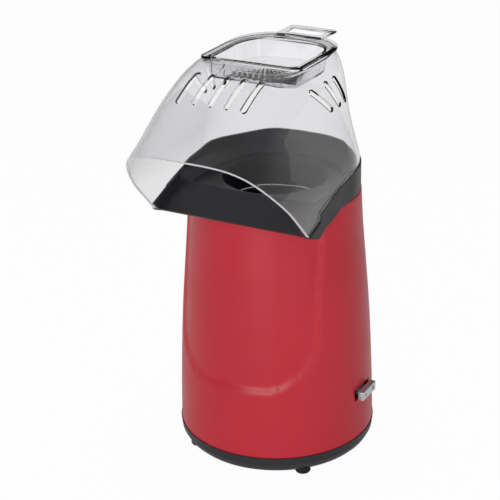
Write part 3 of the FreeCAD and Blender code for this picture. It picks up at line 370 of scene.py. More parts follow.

# %% [markdown]
# The hood and the cup are clear plastic. Clear plastic is not quite colourless:
# the deeper the eye looks into it, the greyer it gets, so its cut edges look
# darker than its faces. A dark tint on the surface would grey the whole hood
# alike, so a volume that absorbs a little light does it. The cup's thick rim
# would turn too dark that way, so its plastic absorbs less and bends light less.
# The rim of the hood's mouth gets a milky finish of its own: painted light for
# the glow that leaves the sheet at its edge.


# %% Clear plastic
def clear_plastic(name, greyness, bending):
    made = finish(
        name, (0.955, 0.952, 0.962), 0.03, IOR=bending, Transmission_Weight=1.0
    )
    volume = made.node_tree.nodes.new("ShaderNodeVolumeAbsorption")
    volume.inputs["Color"].default_value = (0.60, 0.60, 0.62, 1.0)
    volume.inputs["Density"].default_value = greyness
    output = made.node_tree.nodes["Material Output"]
    made.node_tree.links.new(volume.outputs["Volume"], output.inputs["Volume"])
    relief(made, noise(made, 18.0, 1.5), 0.0006, 0.10)
    return made


# The milky colour of the hood's rim is painted light: it stands in for the glow of light
# leaving the sheet there.
def painted_edge_glow():
    made = finish("painted_edge_glow", (0.86, 0.86, 0.90), 0.45, IOR=1.49, Transmission_Weight=0.3)
    mottle(made, noise(made, 120.0), (0.82, 0.82, 0.87), (0.90, 0.90, 0.93))
    relief(made, noise(made, 900.0, 2.0), 0.00005, 0.3)
    return made


CLEAR = clear_plastic("clear_plastic", 34.0, 1.49)
CUP_CLEAR = clear_plastic("cup_plastic", 6.0, 1.36)
PAINTED_EDGE_GLOW = painted_edge_glow()
print("clear", [made.name for made in (CLEAR, CUP_CLEAR, PAINTED_EDGE_GLOW)])

# %% [markdown]
# The metals differ mostly in how they were worked. Drawn and rolled sheet has
# long faint lines, and a silver plastic is even all over. The popping cup has
# turned brown from the heat. A pale band a few millimetres under its rim is
# painted highlight, a bright line where the mouth lies in shade, so its colour
# follows the height.


# %% Sheet metal and silver plastic
def sheet_metal(name, colour, roughness, stretch=(30.0, 30.0, 900.0)):
    made = finish(name, colour, roughness, 1.0)
    darker = tuple(c * 0.82 for c in colour)
    lines = noise(made, 1.0, 3.0, stretch)
    mottle(made, lines, darker, colour)
    gloss(made, noise(made, 40.0), roughness - 0.06, roughness + 0.1)
    relief(made, lines, 0.00008, 0.25)
    return made


def silver_plastic():
    made = finish("silver_plastic", (0.66, 0.66, 0.68), 0.28, 0.75)
    mottle(made, noise(made, 90.0), (0.62, 0.62, 0.64), (0.70, 0.70, 0.72))
    relief(made, noise(made, 2400.0, 2.0), 0.00004, 0.15)
    return made


DUCT_STEEL = sheet_metal("duct_steel", (0.62, 0.62, 0.61), 0.33)
MOTOR_STEEL = sheet_metal("motor_steel", (0.52, 0.52, 0.54), 0.28)
SCREW_STEEL = sheet_metal("screw_steel", (0.58, 0.58, 0.56), 0.26, (900.0, 900.0, 60.0))
POLISHED = sheet_metal("polished_aluminium", (0.93, 0.92, 0.90), 0.16)
SILVER = silver_plastic()
print("metals", [made.name for made in (DUCT_STEEL, MOTOR_STEEL, SCREW_STEEL, POLISHED)])

# %% Browned popping cup with a painted highlight under its rim
RIM_HIGHLIGHT_FROM = 0.004
RIM_HIGHLIGHT_TO = 0.0015


def chamber_metal():
    made = finish("chamber_aluminium", (0.2, 0.15, 0.11), 0.34, 1.0)
    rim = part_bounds("popping_chamber")[1].z
    coords = made.node_tree.nodes.new("ShaderNodeTexCoord")
    height = made.node_tree.nodes.new("ShaderNodeSeparateXYZ")
    made.node_tree.links.new(coords.outputs["Object"], height.inputs["Vector"])
    # The pale colour under the rim is painted highlight, where the mouth lies in shade.
    brown, painted_rim_highlight = (0.17, 0.125, 0.09), (0.80, 0.78, 0.74)
    mix = mottle(made, height.outputs["Z"], brown, painted_rim_highlight, rim - RIM_HIGHLIGHT_FROM, rim - RIM_HIGHLIGHT_TO)
    stain = two_tone(made, noise(made, 60.0, 4.0), (0.14, 0.10, 0.07), (0.26, 0.20, 0.15))
    made.node_tree.links.new(stain.outputs["Result"], mix.inputs["A"])
    relief(made, noise(made, 1.0, 2.0, (200.0, 200.0, 1600.0)), 0.00006, 0.3)
    return made


CHAMBER = chamber_metal()
print("popping cup", len(CHAMBER.node_tree.nodes), "nodes")

# %% [markdown]
# The motor shows three more metals where it is taken apart: a stack of steel
# sheets with fine bands, copper windings that are bands of another kind, and
# porous bronze bushes.


# %% Motor metals
def laminated_steel():
    made = finish("laminated_steel", (0.42, 0.42, 0.44), 0.4, 1.0)
    sheets = bands(made, 620.0)
    mottle(made, sheets, (0.28, 0.28, 0.30), (0.50, 0.50, 0.52))
    relief(made, sheets, 0.0001, 0.5)
    return made


def wound_copper():
    made = finish("copper", (0.72, 0.33, 0.15), 0.25, 0.85, Coat_Weight=0.5)
    turns = bands(made, 520.0, "X", 1.5)
    mottle(made, turns, (0.46, 0.17, 0.07), (0.80, 0.40, 0.19))
    relief(made, turns, 0.0002, 0.7)
    return made


def bronze():
    made = finish("bronze", (0.55, 0.38, 0.2), 0.38, 1.0)
    pores = noise(made, 1900.0, 2.0)
    mottle(made, pores, (0.38, 0.25, 0.12), (0.60, 0.43, 0.24))
    relief(made, pores, 0.0001, 0.35)
    return made


LAMINATED = laminated_steel()
COPPER = wound_copper()
BRONZE = bronze()
print("motor", [made.name for made in (LAMINATED, COPPER, BRONZE)])

# %% [markdown]
# The last finishes belong to pieces that only show when the machine is taken
# apart: the fan's milky nylon, grey magnets, mica with its glittering flakes,
# the heater's dull wire, and the brown board under the motor. They are all
# speckled in some way, so one function makes most of them.


# %% Inner finishes
def speckled(name, first, second, scale, roughness, metallic=0.0):
    made = finish(name, first, roughness, metallic)
    spots = noise(made, scale, 5.0)
    mottle(made, spots, first, second)
    gloss(made, spots, roughness - 0.07, roughness + 0.1)
    relief(made, spots, 0.00008, 0.4)
    return made


def mica():
    made = finish("mica", (0.55, 0.45, 0.32), 0.35, Coat_Weight=0.4)
    flakes = made.node_tree.nodes.new("ShaderNodeTexVoronoi")
    flakes.inputs["Scale"].default_value = 420.0
    made.node_tree.links.new(place_of(made), flakes.inputs["Vector"])
    size = flakes.outputs["Distance"]
    mottle(made, size, (0.62, 0.52, 0.38), (0.40, 0.30, 0.19), 0.1, 0.7)
    relief(made, size, 0.0001, 0.3)
    return made


NYLON = speckled("fan_plastic", (0.72, 0.71, 0.66), (0.78, 0.77, 0.73), 60.0, 0.42)
MAGNET = speckled("magnet", (0.06, 0.06, 0.065), (0.10, 0.10, 0.105), 900.0, 0.6)
WIRE = speckled("heater_wire", (0.26, 0.24, 0.22), (0.42, 0.38, 0.34), 500.0, 0.4, 1.0)
BOARD = speckled("board", (0.40, 0.30, 0.15), (0.48, 0.38, 0.21), 700.0, 0.55)
CARBON = speckled("carbon", (0.03, 0.03, 0.03), (0.06, 0.06, 0.06), 1200.0, 0.5)
CERAMIC = speckled("ceramic", (0.80, 0.79, 0.75), (0.86, 0.85, 0.81), 300.0, 0.35)
MARK = speckled("switch_marks", (0.16, 0.16, 0.17), (0.20, 0.20, 0.21), 900.0, 0.5)
MICA = mica()
print("finishes", len(bpy.data.materials), "materials so far")

# %% [markdown]
# Each part now gets its finish, also the four that are modelled afresh further
# on. The table says it all, so one loop hands the finishes out and counts them.

# %% Finishes for the parts
FINISHES = {
    "base_plate": BLACK,
    "feet": RUBBER,
    "base_screws": SCREW_STEEL,
    "housing": RED,
    "deck_ring": LINER,
    "deck_screws": SCREW_STEEL,
    "air_duct": DUCT_STEEL,
    "popping_chamber": CHAMBER,
    "chamber_screws": SCREW_STEEL,
    "blower_housing": LINER,
    "fan": NYLON,
    "motor_can": MOTOR_STEEL,
    "motor_end_cap": LINER,
    "motor_magnets": MAGNET,
    "motor_core": LAMINATED,
    "motor_windings": COPPER,
    "motor_commutator": COPPER,
    "motor_brushes": CARBON,
    "motor_shaft": MOTOR_STEEL,
    "motor_bushes": BRONZE,
    "motor_screws": SCREW_STEEL,
    "mica_cards": MICA,
    "heater_coil": WIRE,
    "thermostat": DUCT_STEEL,
    "thermal_fuse": CERAMIC,
    "rectifier_board": BOARD,
    "rectifier_diodes": LINER,
    "rectifier_screws": SCREW_STEEL,
    "switch_body": LINER,
    "switch_rocker": SILVER,
    "chute": BLACK,
    "hood": CLEAR,
    "measuring_cup": CLEAR,
}
for name, surface in FINISHES.items():
    mesh = nodes[name].data
    mesh.materials.clear()
    mesh.materials.append(surface)
print("finished parts", len(FINISHES), "of", len(nodes))

# %% [markdown]
# ## Tools for modelling
#
# A script models as a hand does, but it has no mouse: it must say which piece it
# works on, and pick faces and edges by where they are. These helpers do that,
# and each piece ends with the same last steps, gathered in one place: its place
# goes into its mesh, and it gets its finish and the body that carries it.

# %% Helpers: one piece at a time
MM = 0.001


def middle(node):
    low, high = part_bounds(node)
    return (low + high) / 2


def alone(obj):
    """Selects obj and nothing else, and makes it active."""
    bpy.ops.object.select_all(action="DESELECT")
    obj.select_set(True)
    bpy.context.view_layer.objects.active = obj
    return obj


def modify(obj, kind, **settings):
    """Adds a modifier, sets it and applies it."""
    modifier = obj.modifiers.new(kind.lower(), kind)
    for key, value in settings.items():
        setattr(modifier, key, value)
    bpy.ops.object.modifier_apply(modifier=modifier.name)


def soften(obj, width, segments):
    """Rounds the sharp edges that the cuts have left."""
    angle = math.radians(50)
    modify(
        obj, "BEVEL", width=width, segments=segments, limit_method="ANGLE", angle_limit=angle
    )


def settle(obj, name, body, surface, replaced=(), smooth=30.0):
    """Gives a finished piece its name, finish and body, with its place in its mesh."""
    alone(obj)
    bpy.ops.object.transform_apply(location=True, rotation=True, scale=True)
    bpy.ops.object.shade_smooth_by_angle(angle=math.radians(smooth))
    obj.name = name
    obj.data.name = name
    obj.data.materials.clear()
    obj.data.materials.append(surface)
    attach(obj, body)
    if replaced:
        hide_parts(*replaced)
    print(name, len(obj.data.polygons), "faces")
    return obj


print("the housing's middle", [round(v, 4) for v in middle("housing")])


# %% Helpers: faces, corners and blocks
def pick_faces(obj, test):
    """In edit mode, selects just the faces whose middle and normal pass the test."""
    bpy.ops.mesh.select_mode(type="FACE")
    bpy.ops.mesh.select_all(action="DESELECT")
    edited = bmesh.from_edit_mesh(obj.data)
    found = 0
    for face in edited.faces:
        place = obj.matrix_world @ face.calc_center_median()
        if test(place, face.normal):
            face.select_set(True)
            found += 1
    bmesh.update_edit_mesh(obj.data)
    return found


def round_corners(obj, test, radius, segments, profile=0.5):
    """Rounds the upright edges whose middle passes the test."""
    bpy.ops.object.mode_set(mode="EDIT")
    bpy.ops.mesh.select_mode(type="EDGE")
    bpy.ops.mesh.select_all(action="DESELECT")
    bpy.ops.object.mode_set(mode="OBJECT")
    points = obj.data.vertices
    for edge in obj.data.edges:
        one, two = [obj.matrix_world @ points[i].co for i in edge.vertices]
        upright = math.hypot(one.x - two.x, one.y - two.y) < 0.01 * MM
        edge.select = upright and test((one + two) / 2)
    bpy.ops.object.mode_set(mode="EDIT")
    bpy.ops.mesh.bevel(offset=radius, segments=segments, affect="EDGES", profile=profile)
    bpy.ops.mesh.select_mode(type="FACE")
    bpy.ops.object.mode_set(mode="OBJECT")


def block(low, high):
    """A block between two corners, as the start of a piece or as a punch."""
    centre = [(a + b) / 2 for a, b in zip(low, high)]
    bpy.ops.object.select_all(action="DESELECT")
    bpy.ops.mesh.primitive_cube_add(size=1.0, location=centre)
    made = alone(bpy.context.object)
    made.scale = [b - a for a, b in zip(low, high)]
    bpy.ops.object.transform_apply(location=False, rotation=False, scale=True)
    return made


print("tools", [tool.__name__ for tool in (pick_faces, round_corners, block)])

# %% [markdown]
# ## The red housing
#
# The housing is one tall moulding with a panel pressed a little way into its
# front. Its side is a gentle curve, known at seven heights. It could be spun
# from a profile, but the panel needs small, even faces to be pressed into. So a
# circle is extruded upwards in many level steps, and each new ring is scaled to
# the side's radius there.


# %% Housing sizes
def along(points, at):
    """The smooth curve through (place, value) points, read at one place."""
    last = len(points) - 2
    i = max(0, min(last, sum(1 for p in points if p[0] <= at) - 1))
    before, here = points[max(i - 1, 0)], points[i]
    there, after = points[i + 1], points[min(i + 2, last + 1)]
    step = there[0] - here[0]
    t = (at - here[0]) / step
    slope_here = (there[1] - before[1]) / (there[0] - before[0]) * step
    slope_there = (after[1] - here[1]) / (after[0] - here[0]) * step
    start = here[1] * (2 * t**3 - 3 * t**2 + 1) + slope_here * (t**3 - 2 * t**2 + t)
    end = there[1] * (3 * t**2 - 2 * t**3) + slope_there * (t**3 - t**2)
    return start + end


AXIS = middle("housing")
HOUSING_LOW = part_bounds("housing")[0].z
HOUSING_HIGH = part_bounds("housing")[1].z
SIDE = (
    (HOUSING_LOW, 82.6 * MM),
    (54.0 * MM, 81.8 * MM),
    (88.0 * MM, 80.5 * MM),
    (126.0 * MM, 78.4 * MM),
    (162.0 * MM, 75.6 * MM),
    (198.0 * MM, 72.7 * MM),
    (HOUSING_HIGH, 71.0 * MM),
)
WALL = 2.6 * MM
LEVELS = 100
SEGMENTS = 288
print("radius halfway up", round(along(SIDE, (HOUSING_LOW + HOUSING_HIGH) / 2), 4))

# %% Raise the side
bpy.ops.object.select_all(action="DESELECT")
bpy.ops.mesh.primitive_circle_add(
    vertices=SEGMENTS, radius=SIDE[0][1], location=(AXIS.x, AXIS.y, HOUSING_LOW)
)
housing = alone(bpy.context.object)
bpy.ops.object.mode_set(mode="EDIT")
rise = (HOUSING_HIGH - HOUSING_LOW) / LEVELS
radius = SIDE[0][1]
for level in range(1, LEVELS + 1):
    height = HOUSING_LOW + rise * level
    wider = along(SIDE, height) / radius
    radius *= wider
    bpy.ops.mesh.extrude_region_move(TRANSFORM_OT_translate={"value": (0, 0, rise)})
    bpy.ops.transform.resize(
        value=(wider, wider, 1.0), center_override=(AXIS.x, AXIS.y, height)
    )
print("raised to", round(height, 4), "at radius", round(radius, 4))

# %% [markdown]
# The panel is a wide window, open at the top, with two large round corners at
# its foot. A boolean would cut it with a hard step. Proportional editing presses
# it in instead: the faces inside the window move in by its full depth, and their
# neighbours follow less and less, which leaves the soft step of a moulding.

# %% Press the panel in
PANEL_HALF_W = 62.3 * MM
PANEL_LOW = 77.0 * MM
PANEL_CORNER = 36.0 * MM
PANEL_DEPTH = 2.2 * MM
PANEL_STEP = 8.0 * MM
PANEL_SIDE_SHARE = 0.35


def inside_panel(place):
    """True where a face lies inside the panel's window and its soft step."""
    across = abs(place.x - AXIS.x)
    half = PANEL_HALF_W - PANEL_STEP * PANEL_SIDE_SHARE
    low = PANEL_LOW + PANEL_STEP
    if place.y > AXIS.y or across > half or place.z < low:
        return False
    over = across - (half - PANEL_CORNER)
    under = (low + PANEL_CORNER) - place.z
    return over < 0 or under < 0 or math.hypot(over, under) < PANEL_CORNER


bpy.ops.mesh.select_all(action="SELECT")
bpy.ops.mesh.normals_make_consistent(inside=False)
pressed = pick_faces(housing, lambda place, normal: inside_panel(place))
bpy.ops.transform.shrink_fatten(
    value=-PANEL_DEPTH,
    use_proportional_edit=True,
    proportional_edit_falloff="SMOOTH",
    proportional_size=PANEL_STEP,
)
print("pressed", pressed, "faces")

# %% [markdown]
# Under the chute the front of the housing is cut along a slope, so that the
# chute's ramp lies just over it. One bisect does that. The wall then gets its
# thickness, the rims their small rounding, and a block cuts the opening for the
# switch.

# %% Cut, thicken and pierce the housing
RAMP_BACK = Vector((0, AXIS.y - 42.2 * MM, 235.4 * MM))
RAMP_FRONT = Vector((0, AXIS.y - 76.6 * MM, 222.7 * MM))
ramp_run = RAMP_BACK - RAMP_FRONT
SWITCH_HEIGHT = 60.0 * MM
SLOT_MIDDLE = (AXIS.x + SIDE[1][1], AXIS.y, SWITCH_HEIGHT)
SLOT_HALF = (15.0 * MM, 14.2 * MM, 5.3 * MM)

bpy.ops.mesh.select_all(action="SELECT")
bpy.ops.mesh.bisect(
    plane_co=RAMP_FRONT, plane_no=(0, -ramp_run.z, ramp_run.y), clear_outer=True
)
bpy.ops.object.mode_set(mode="OBJECT")
modify(housing, "SOLIDIFY", thickness=WALL, offset=-1.0)
soften(housing, 0.5 * MM, 2)

punch = block(
    [m - half for m, half in zip(SLOT_MIDDLE, SLOT_HALF)],
    [m + half for m, half in zip(SLOT_MIDDLE, SLOT_HALF)],
)
modify(punch, "BEVEL", width=0.8 * MM, segments=3)
alone(housing)
modify(housing, "BOOLEAN", operation="DIFFERENCE", object=punch, solver="EXACT")
bpy.data.objects.remove(punch)
settle(housing, "red_housing", "body", RED, ["housing"], smooth=35.0)

# %% [markdown]
# ## The clear hood and its cup
#
# The hood's outline changes in three ways at once as it rises: its half width,
# its reach to the back and its reach to the front. No stack of scaled rings can
# follow that, so the rings are worked out and given to the mesh directly. Even
# quads matter here: every crease in a clear shell bends the view through it.
# The table gives the height and those three sizes, all in millimetres.

# %% Hood sizes
HOOD_ROWS = (
    (210.0, 69.6, 69.6, 235.0),
    (232.0, 69.6, 69.6, 224.0),
    (253.0, 69.5, 69.5, 211.0),
    (264.0, 67.4, 66.2, 201.0),
    (275.0, 64.3, 62.4, 186.0),
    (287.0, 61.2, 59.4, 167.0),
    (298.0, 58.8, 57.7, 148.7),
    (308.0, 57.1, 56.9, 134.5),
    (317.0, 55.5, 56.3, 121.0),
    (325.0, 53.6, 55.4, 107.5),
    (332.0, 51.2, 54.2, 94.5),
    (337.0, 48.9, 53.0, 83.5),
    (340.0, 47.0, 51.8, 73.0),
    (341.4, 45.7, 50.8, 65.0),
    (342.0, 44.6, 49.8, 57.0),
)
HOOD_HALF_W = [(row[0], row[1]) for row in HOOD_ROWS]
HOOD_BACK = [(row[0], row[2]) for row in HOOD_ROWS]
HOOD_FRONT = [(row[0], row[3]) for row in HOOD_ROWS]
HOOD_LOW = 214.0
HOOD_SHOULDER = 253.0
HOOD_TOP = 342.0
FRONT_TRIM = 0.22
HOOD_WALL = 2.2 * MM
HOOD_LEVELS = 84
HOOD_STEPS = 232
CROWDING = 1.7
FRONT_SQUARENESS = 4.0
BACK_SQUARENESS = 2.0
BACK_SQUARER_AT_TOP = 0.3
print("hood wall", HOOD_WALL, "levels", HOOD_LEVELS)


# %% Hood shell
def hood_ring(height):
    """The points round the hood at one height: squarish in front, round behind."""
    half_w, back, front = [along(line, height) for line in (HOOD_HALF_W, HOOD_BACK, HOOD_FRONT)]
    front -= FRONT_TRIM
    share = min(max((height - HOOD_SHOULDER) / (HOOD_TOP - HOOD_SHOULDER), 0.0), 1.0)
    back_squareness = BACK_SQUARENESS + BACK_SQUARER_AT_TOP * share
    ring = []
    for step in range(HOOD_STEPS):
        turn = 2 * math.pi * step / HOOD_STEPS
        c, s = math.cos(turn), math.sin(turn)
        power, reach = (back_squareness, back) if s > 0 else (FRONT_SQUARENESS, front)
        size = (abs(c / half_w) ** power + abs(s / reach) ** power) ** (-1 / power)
        ring.append((AXIS.x + c * size * MM, AXIS.y + s * size * MM, height * MM))
    return ring


def hood_height(level):
    """Levels stand closer together towards the rounded top."""
    t = level / HOOD_LEVELS
    return HOOD_LOW + (HOOD_TOP - HOOD_LOW) * (1 - (1 - t) ** CROWDING)


points = [point for level in range(HOOD_LEVELS + 1) for point in hood_ring(hood_height(level))]
quads = []
for level in range(HOOD_LEVELS):
    for step in range(HOOD_STEPS):
        beside = (step + 1) % HOOD_STEPS
        row, above = level * HOOD_STEPS, (level + 1) * HOOD_STEPS
        quads.append((row + step, row + beside, above + beside, above + step))
quads.append(tuple(range(HOOD_LEVELS * HOOD_STEPS, (HOOD_LEVELS + 1) * HOOD_STEPS)))
hood_mesh = bpy.data.meshes.new("hood")
hood_mesh.from_pydata(points, [], quads)
hood = bpy.data.objects.new("hood_shell", hood_mesh)
bpy.context.collection.objects.link(hood)
alone(hood)
modify(hood, "SOLIDIFY", thickness=HOOD_WALL, offset=-1.0)
print("hood shell", len(hood.data.polygons), "faces")

# %% [markdown]
# Steam leaves the hood through slots, five down its front slope and three on
# each shoulder. A pattern in the finish could make them see-through, but a slot
# in clear plastic is seen by its edges, so they are real holes. Each is cut by a
# round-ended punch: a block with its upright edges rounded, which is then laid
# along the slope and driven straight through.


# %% Slot punches
SLOT_W = 5.0
PUNCH_HALF_DEPTH = 9 * MM


def slot_punch(start, end, through):
    """A round-ended punch that runs from start to end and goes through that way."""
    ends = (start, end)
    start, end = [Vector((AXIS.x + x * MM, AXIS.y + y * MM, z * MM)) for x, y, z in ends]
    half_length = (end - start).length / 2 + SLOT_W * MM / 2
    half = Vector((SLOT_W * MM / 2, half_length, PUNCH_HALF_DEPTH))
    made = block(-half, half)
    round_corners(made, lambda place: True, SLOT_W * MM * 0.499, 8)
    run = (end - start).normalized()
    across = run.cross(Vector(through)).normalized()
    turned = Matrix((across, run, across.cross(run))).transposed().to_4x4()
    turned.translation = (start + end) / 2
    made.matrix_world = turned
    return made


def front_height(y):
    """The height at which the hood's front slope stands that far forward."""
    low, high = HOOD_SHOULDER, HOOD_TOP
    for _ in range(40):
        guess = (low + high) / 2
        low, high = (guess, high) if along(HOOD_FRONT, guess) > -y else (low, guess)
    return low


print("the slope stands 90 mm forward at", round(front_height(-90.0), 1), "mm up")

# %% Lay out the slots
FRONT_SLOTS = 5
FRONT_SLOT_PITCH = 13.8
FRONT_SLOT_RUN = (-101.0, -71.0)
FRONT_SLOT_WAY = (0, -0.42, 1)
SHOULDER_HEIGHTS = (326.4, 306.4)
SHOULDER_RUNS = ((-38.0, -12.3), (-13.6, 2.1), (1.6, 15.5))
SHOULDER_TILT = 0.24

punches = []
for i in range(FRONT_SLOTS):
    x = (i - FRONT_SLOTS // 2) * FRONT_SLOT_PITCH
    start, end = [(x, y, front_height(y)) for y in FRONT_SLOT_RUN]
    punches.append(slot_punch(start, end, FRONT_SLOT_WAY))
for run in SHOULDER_RUNS:
    for side in (-1, 1):
        start, end = [
            (side * along(HOOD_HALF_W, z), y, z) for y, z in zip(run, SHOULDER_HEIGHTS)
        ]
        punches.append(slot_punch(start, end, (side, 0, SHOULDER_TILT)))
print("slots", len(punches))

# %% [markdown]
# Two more tools shape the hood. A well in its top takes the cup, round behind
# and almost square in front. A slab with the seam's outline takes away all that
# lies under the line where the hood meets the chute.

# %% Well and seam
HOOD_WELL_HALF_W = 40.3 * MM
HOOD_WELL_FRONT = AXIS.y - 39.3 * MM
HOOD_WELL_BACK = AXIS.y + 38.5 * MM
HOOD_WELL_HEIGHTS = (335 * MM, 350 * MM)
UNDER_EVERYTHING = 150.0
SEAM = (
    (90.0, 251.8),
    (10.0, 251.8),
    (-5.0, 250.2),
    (-23.5, 246.9),
    (-41.4, 242.4),
    (-56.5, 238.0),
    (-58.0, 231.0),
    (-76.6, 224.7),
    (-110.0, 213.4),
)


def slab(outline, half_width):
    """A block with a (y, z) outline, in millimetres round the axis, that runs across."""
    rim = [Vector((0.0, AXIS.y + y * MM, z * MM)) for y, z in outline]
    side = Vector((half_width * MM, 0.0, 0.0))
    count = len(rim)
    walls = [(i, (i + 1) % count, (i + 1) % count + count, i + count) for i in range(count)]
    caps = [tuple(range(count))[::-1], tuple(range(count, 2 * count))]
    made = bpy.data.meshes.new("slab")
    made.from_pydata([p - side for p in rim] + [p + side for p in rim], [], caps + walls)
    obj = bpy.data.objects.new("slab", made)
    bpy.context.collection.objects.link(obj)
    alone(obj)
    bpy.ops.object.mode_set(mode="EDIT")
    bpy.ops.mesh.select_all(action="SELECT")
    bpy.ops.mesh.normals_make_consistent(inside=False)
    bpy.ops.object.mode_set(mode="OBJECT")
    return obj


well = block(
    (AXIS.x - HOOD_WELL_HALF_W, HOOD_WELL_FRONT, HOOD_WELL_HEIGHTS[0]),
    (AXIS.x + HOOD_WELL_HALF_W, HOOD_WELL_BACK, HOOD_WELL_HEIGHTS[1]),
)
round_corners(well, lambda place: place.y > AXIS.y, 33.0 * MM, 20, 0.56)
round_corners(well, lambda place: place.y < AXIS.y - 30 * MM, 6.0 * MM, 8)
corners_below = ((SEAM[-1][0], UNDER_EVERYTHING), (SEAM[0][0], UNDER_EVERYTHING))
under_seam = slab(SEAM + corners_below, 120.0)
print("well", len(well.data.polygons), "faces, seam", len(SEAM), "points")

# %% Cut the hood
alone(hood)
for punch in [under_seam, well] + punches:
    modify(hood, "BOOLEAN", operation="DIFFERENCE", object=punch, solver="EXACT")
    bpy.data.objects.remove(punch)
print("cut hood", len(hood.data.polygons), "faces")

# %% [markdown]
# The hood ends at its mouth along one slope. Light that has run along inside the
# sheet leaves it at that rim, so the rim looks milky. Clear plastic alone would
# need many more bounces of light to show it. So the hood is trimmed twice, half
# a millimetre apart, and the thin strip between gets a milky colour: painted
# light that stands in for that glow.

# %% Trim the mouth
MOUTH_POINT = Vector((0.0, AXIS.y - 76.6 * MM, 224.7 * MM))
MOUTH_NORMAL = Vector((0.0, 1.0, 0.970)).normalized()
EDGE_DEPTH = 0.5 * MM


def trim(obj, point, keep_front):
    """Cuts obj along the mouth's slope and keeps what is on one side."""
    alone(obj)
    bpy.ops.object.mode_set(mode="EDIT")
    bpy.ops.mesh.select_all(action="SELECT")
    bpy.ops.mesh.bisect(
        plane_co=point,
        plane_no=MOUTH_NORMAL,
        use_fill=True,
        clear_outer=keep_front,
        clear_inner=not keep_front,
    )
    bpy.ops.object.mode_set(mode="OBJECT")


trim(hood, MOUTH_POINT, False)
alone(hood)
bpy.ops.object.duplicate()
hood_edge = bpy.context.object
edge_place = MOUTH_POINT + MOUTH_NORMAL * EDGE_DEPTH
trim(hood, edge_place, False)
trim(hood_edge, edge_place, True)
settle(hood, "clear_hood", "cover", CLEAR, ["hood"])
settle(hood_edge, "hood_edge", "cover", PAINTED_EDGE_GLOW, ["hood"])

# %% [markdown]
# The cup is a clear moulding with soft edges that hangs in the hood's top by its
# rim. It could be hollowed out of a block, but it is made as sheet is drawn: a
# flat plate gets a round back and small front corners, its top is sunk for the
# hollow, and its underside is drawn down for the outer wall. Both moves are the
# same: an inset, scaled to the well's outline, then extruded with a slight taper.

# %% Cup sizes
cup_low, cup_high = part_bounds("measuring_cup")
FLANGE_HALF_W = 45.2 * MM
FLANGE_FRONT = AXIS.y - 42.5 * MM
FLANGE_BACK = AXIS.y + 51.5 * MM
FLANGE_T = 1.7 * MM
WELL_HALF_W = 39.6 * MM
WELL_FRONT = AXIS.y - 38.6 * MM
WELL_BACK = AXIS.y + 37.8 * MM
CUP_WALL = 1.8 * MM
CUP_TAPER = 0.945
INSET = 1.0 * MM
RIM_DROP = 0.3 * MM
flange_low = cup_high.z - FLANGE_T
rim_high = cup_high.z - RIM_DROP
print("cup box", [round(v, 4) for v in cup_low], [round(v, 4) for v in cup_high])


# %% Cup body
def sink(obj, upwards, narrower, depth):
    """Insets the top or underside to the well's outline and moves it down."""
    alone(obj)
    bpy.ops.object.mode_set(mode="EDIT")
    pick_faces(obj, lambda place, normal: normal.z * upwards > 0.9)
    half, front, back = WELL_HALF_W - narrower, WELL_FRONT + narrower, WELL_BACK - narrower
    bpy.ops.mesh.inset(thickness=INSET)
    wide = half / (FLANGE_HALF_W - INSET)
    deep = (back - front) / (FLANGE_BACK - FLANGE_FRONT - 2 * INSET)
    bpy.ops.transform.resize(
        value=(wide, deep, 1.0), center_override=(AXIS.x, FLANGE_FRONT + INSET, 0)
    )
    bpy.ops.transform.translate(value=(0, front - FLANGE_FRONT - INSET, 0))
    bpy.ops.mesh.extrude_region_move(TRANSFORM_OT_translate={"value": (0, 0, -depth)})
    bpy.ops.transform.resize(
        value=(CUP_TAPER, CUP_TAPER, 1.0), center_override=(AXIS.x, (front + back) / 2, 0)
    )
    bpy.ops.object.mode_set(mode="OBJECT")


cup = block(
    (AXIS.x - FLANGE_HALF_W, FLANGE_FRONT, flange_low),
    (AXIS.x + FLANGE_HALF_W, FLANGE_BACK, rim_high),
)
round_corners(cup, lambda place: place.y > AXIS.y, 40.0 * MM, 20, 0.54)
round_corners(cup, lambda place: place.y < FLANGE_FRONT + MM, 9.0 * MM, 8)
sink(cup, 1.0, CUP_WALL, rim_high - cup_low.z - CUP_WALL)
sink(cup, -1.0, 0.0, flange_low - cup_low.z)
cup_bottom = min(vertex.co.z for vertex in cup.data.vertices)
print("cup body", len(cup.data.polygons), "faces, to", round(cup_bottom, 4))

# %% [markdown]
# At its back the cup has a tab with an opening for a fingertip, and a row of
# small holes goes through its floor. The holes are one cylinder, repeated by an
# Array modifier. The tab is joined on and the openings cut while the edges are
# still sharp, and one bevel then softens them all together.

# %% Cup tab and holes
TAB_HALF_W = 21.3 * MM
TAB_CORNER = 4.0 * MM
FINGER_HALF_W = 15.3 * MM
FINGER_FRONT = FLANGE_BACK + 1.5 * MM
FINGER_BACK = cup_high.y - 8.5 * MM
HOLES = 9
HOLE_R = 1.1 * MM
HOLE_PITCH = 5.6 * MM
FIRST_HOLE = (AXIS.x - 22.4 * MM, AXIS.y - 29.8 * MM, cup_low.z + MM)

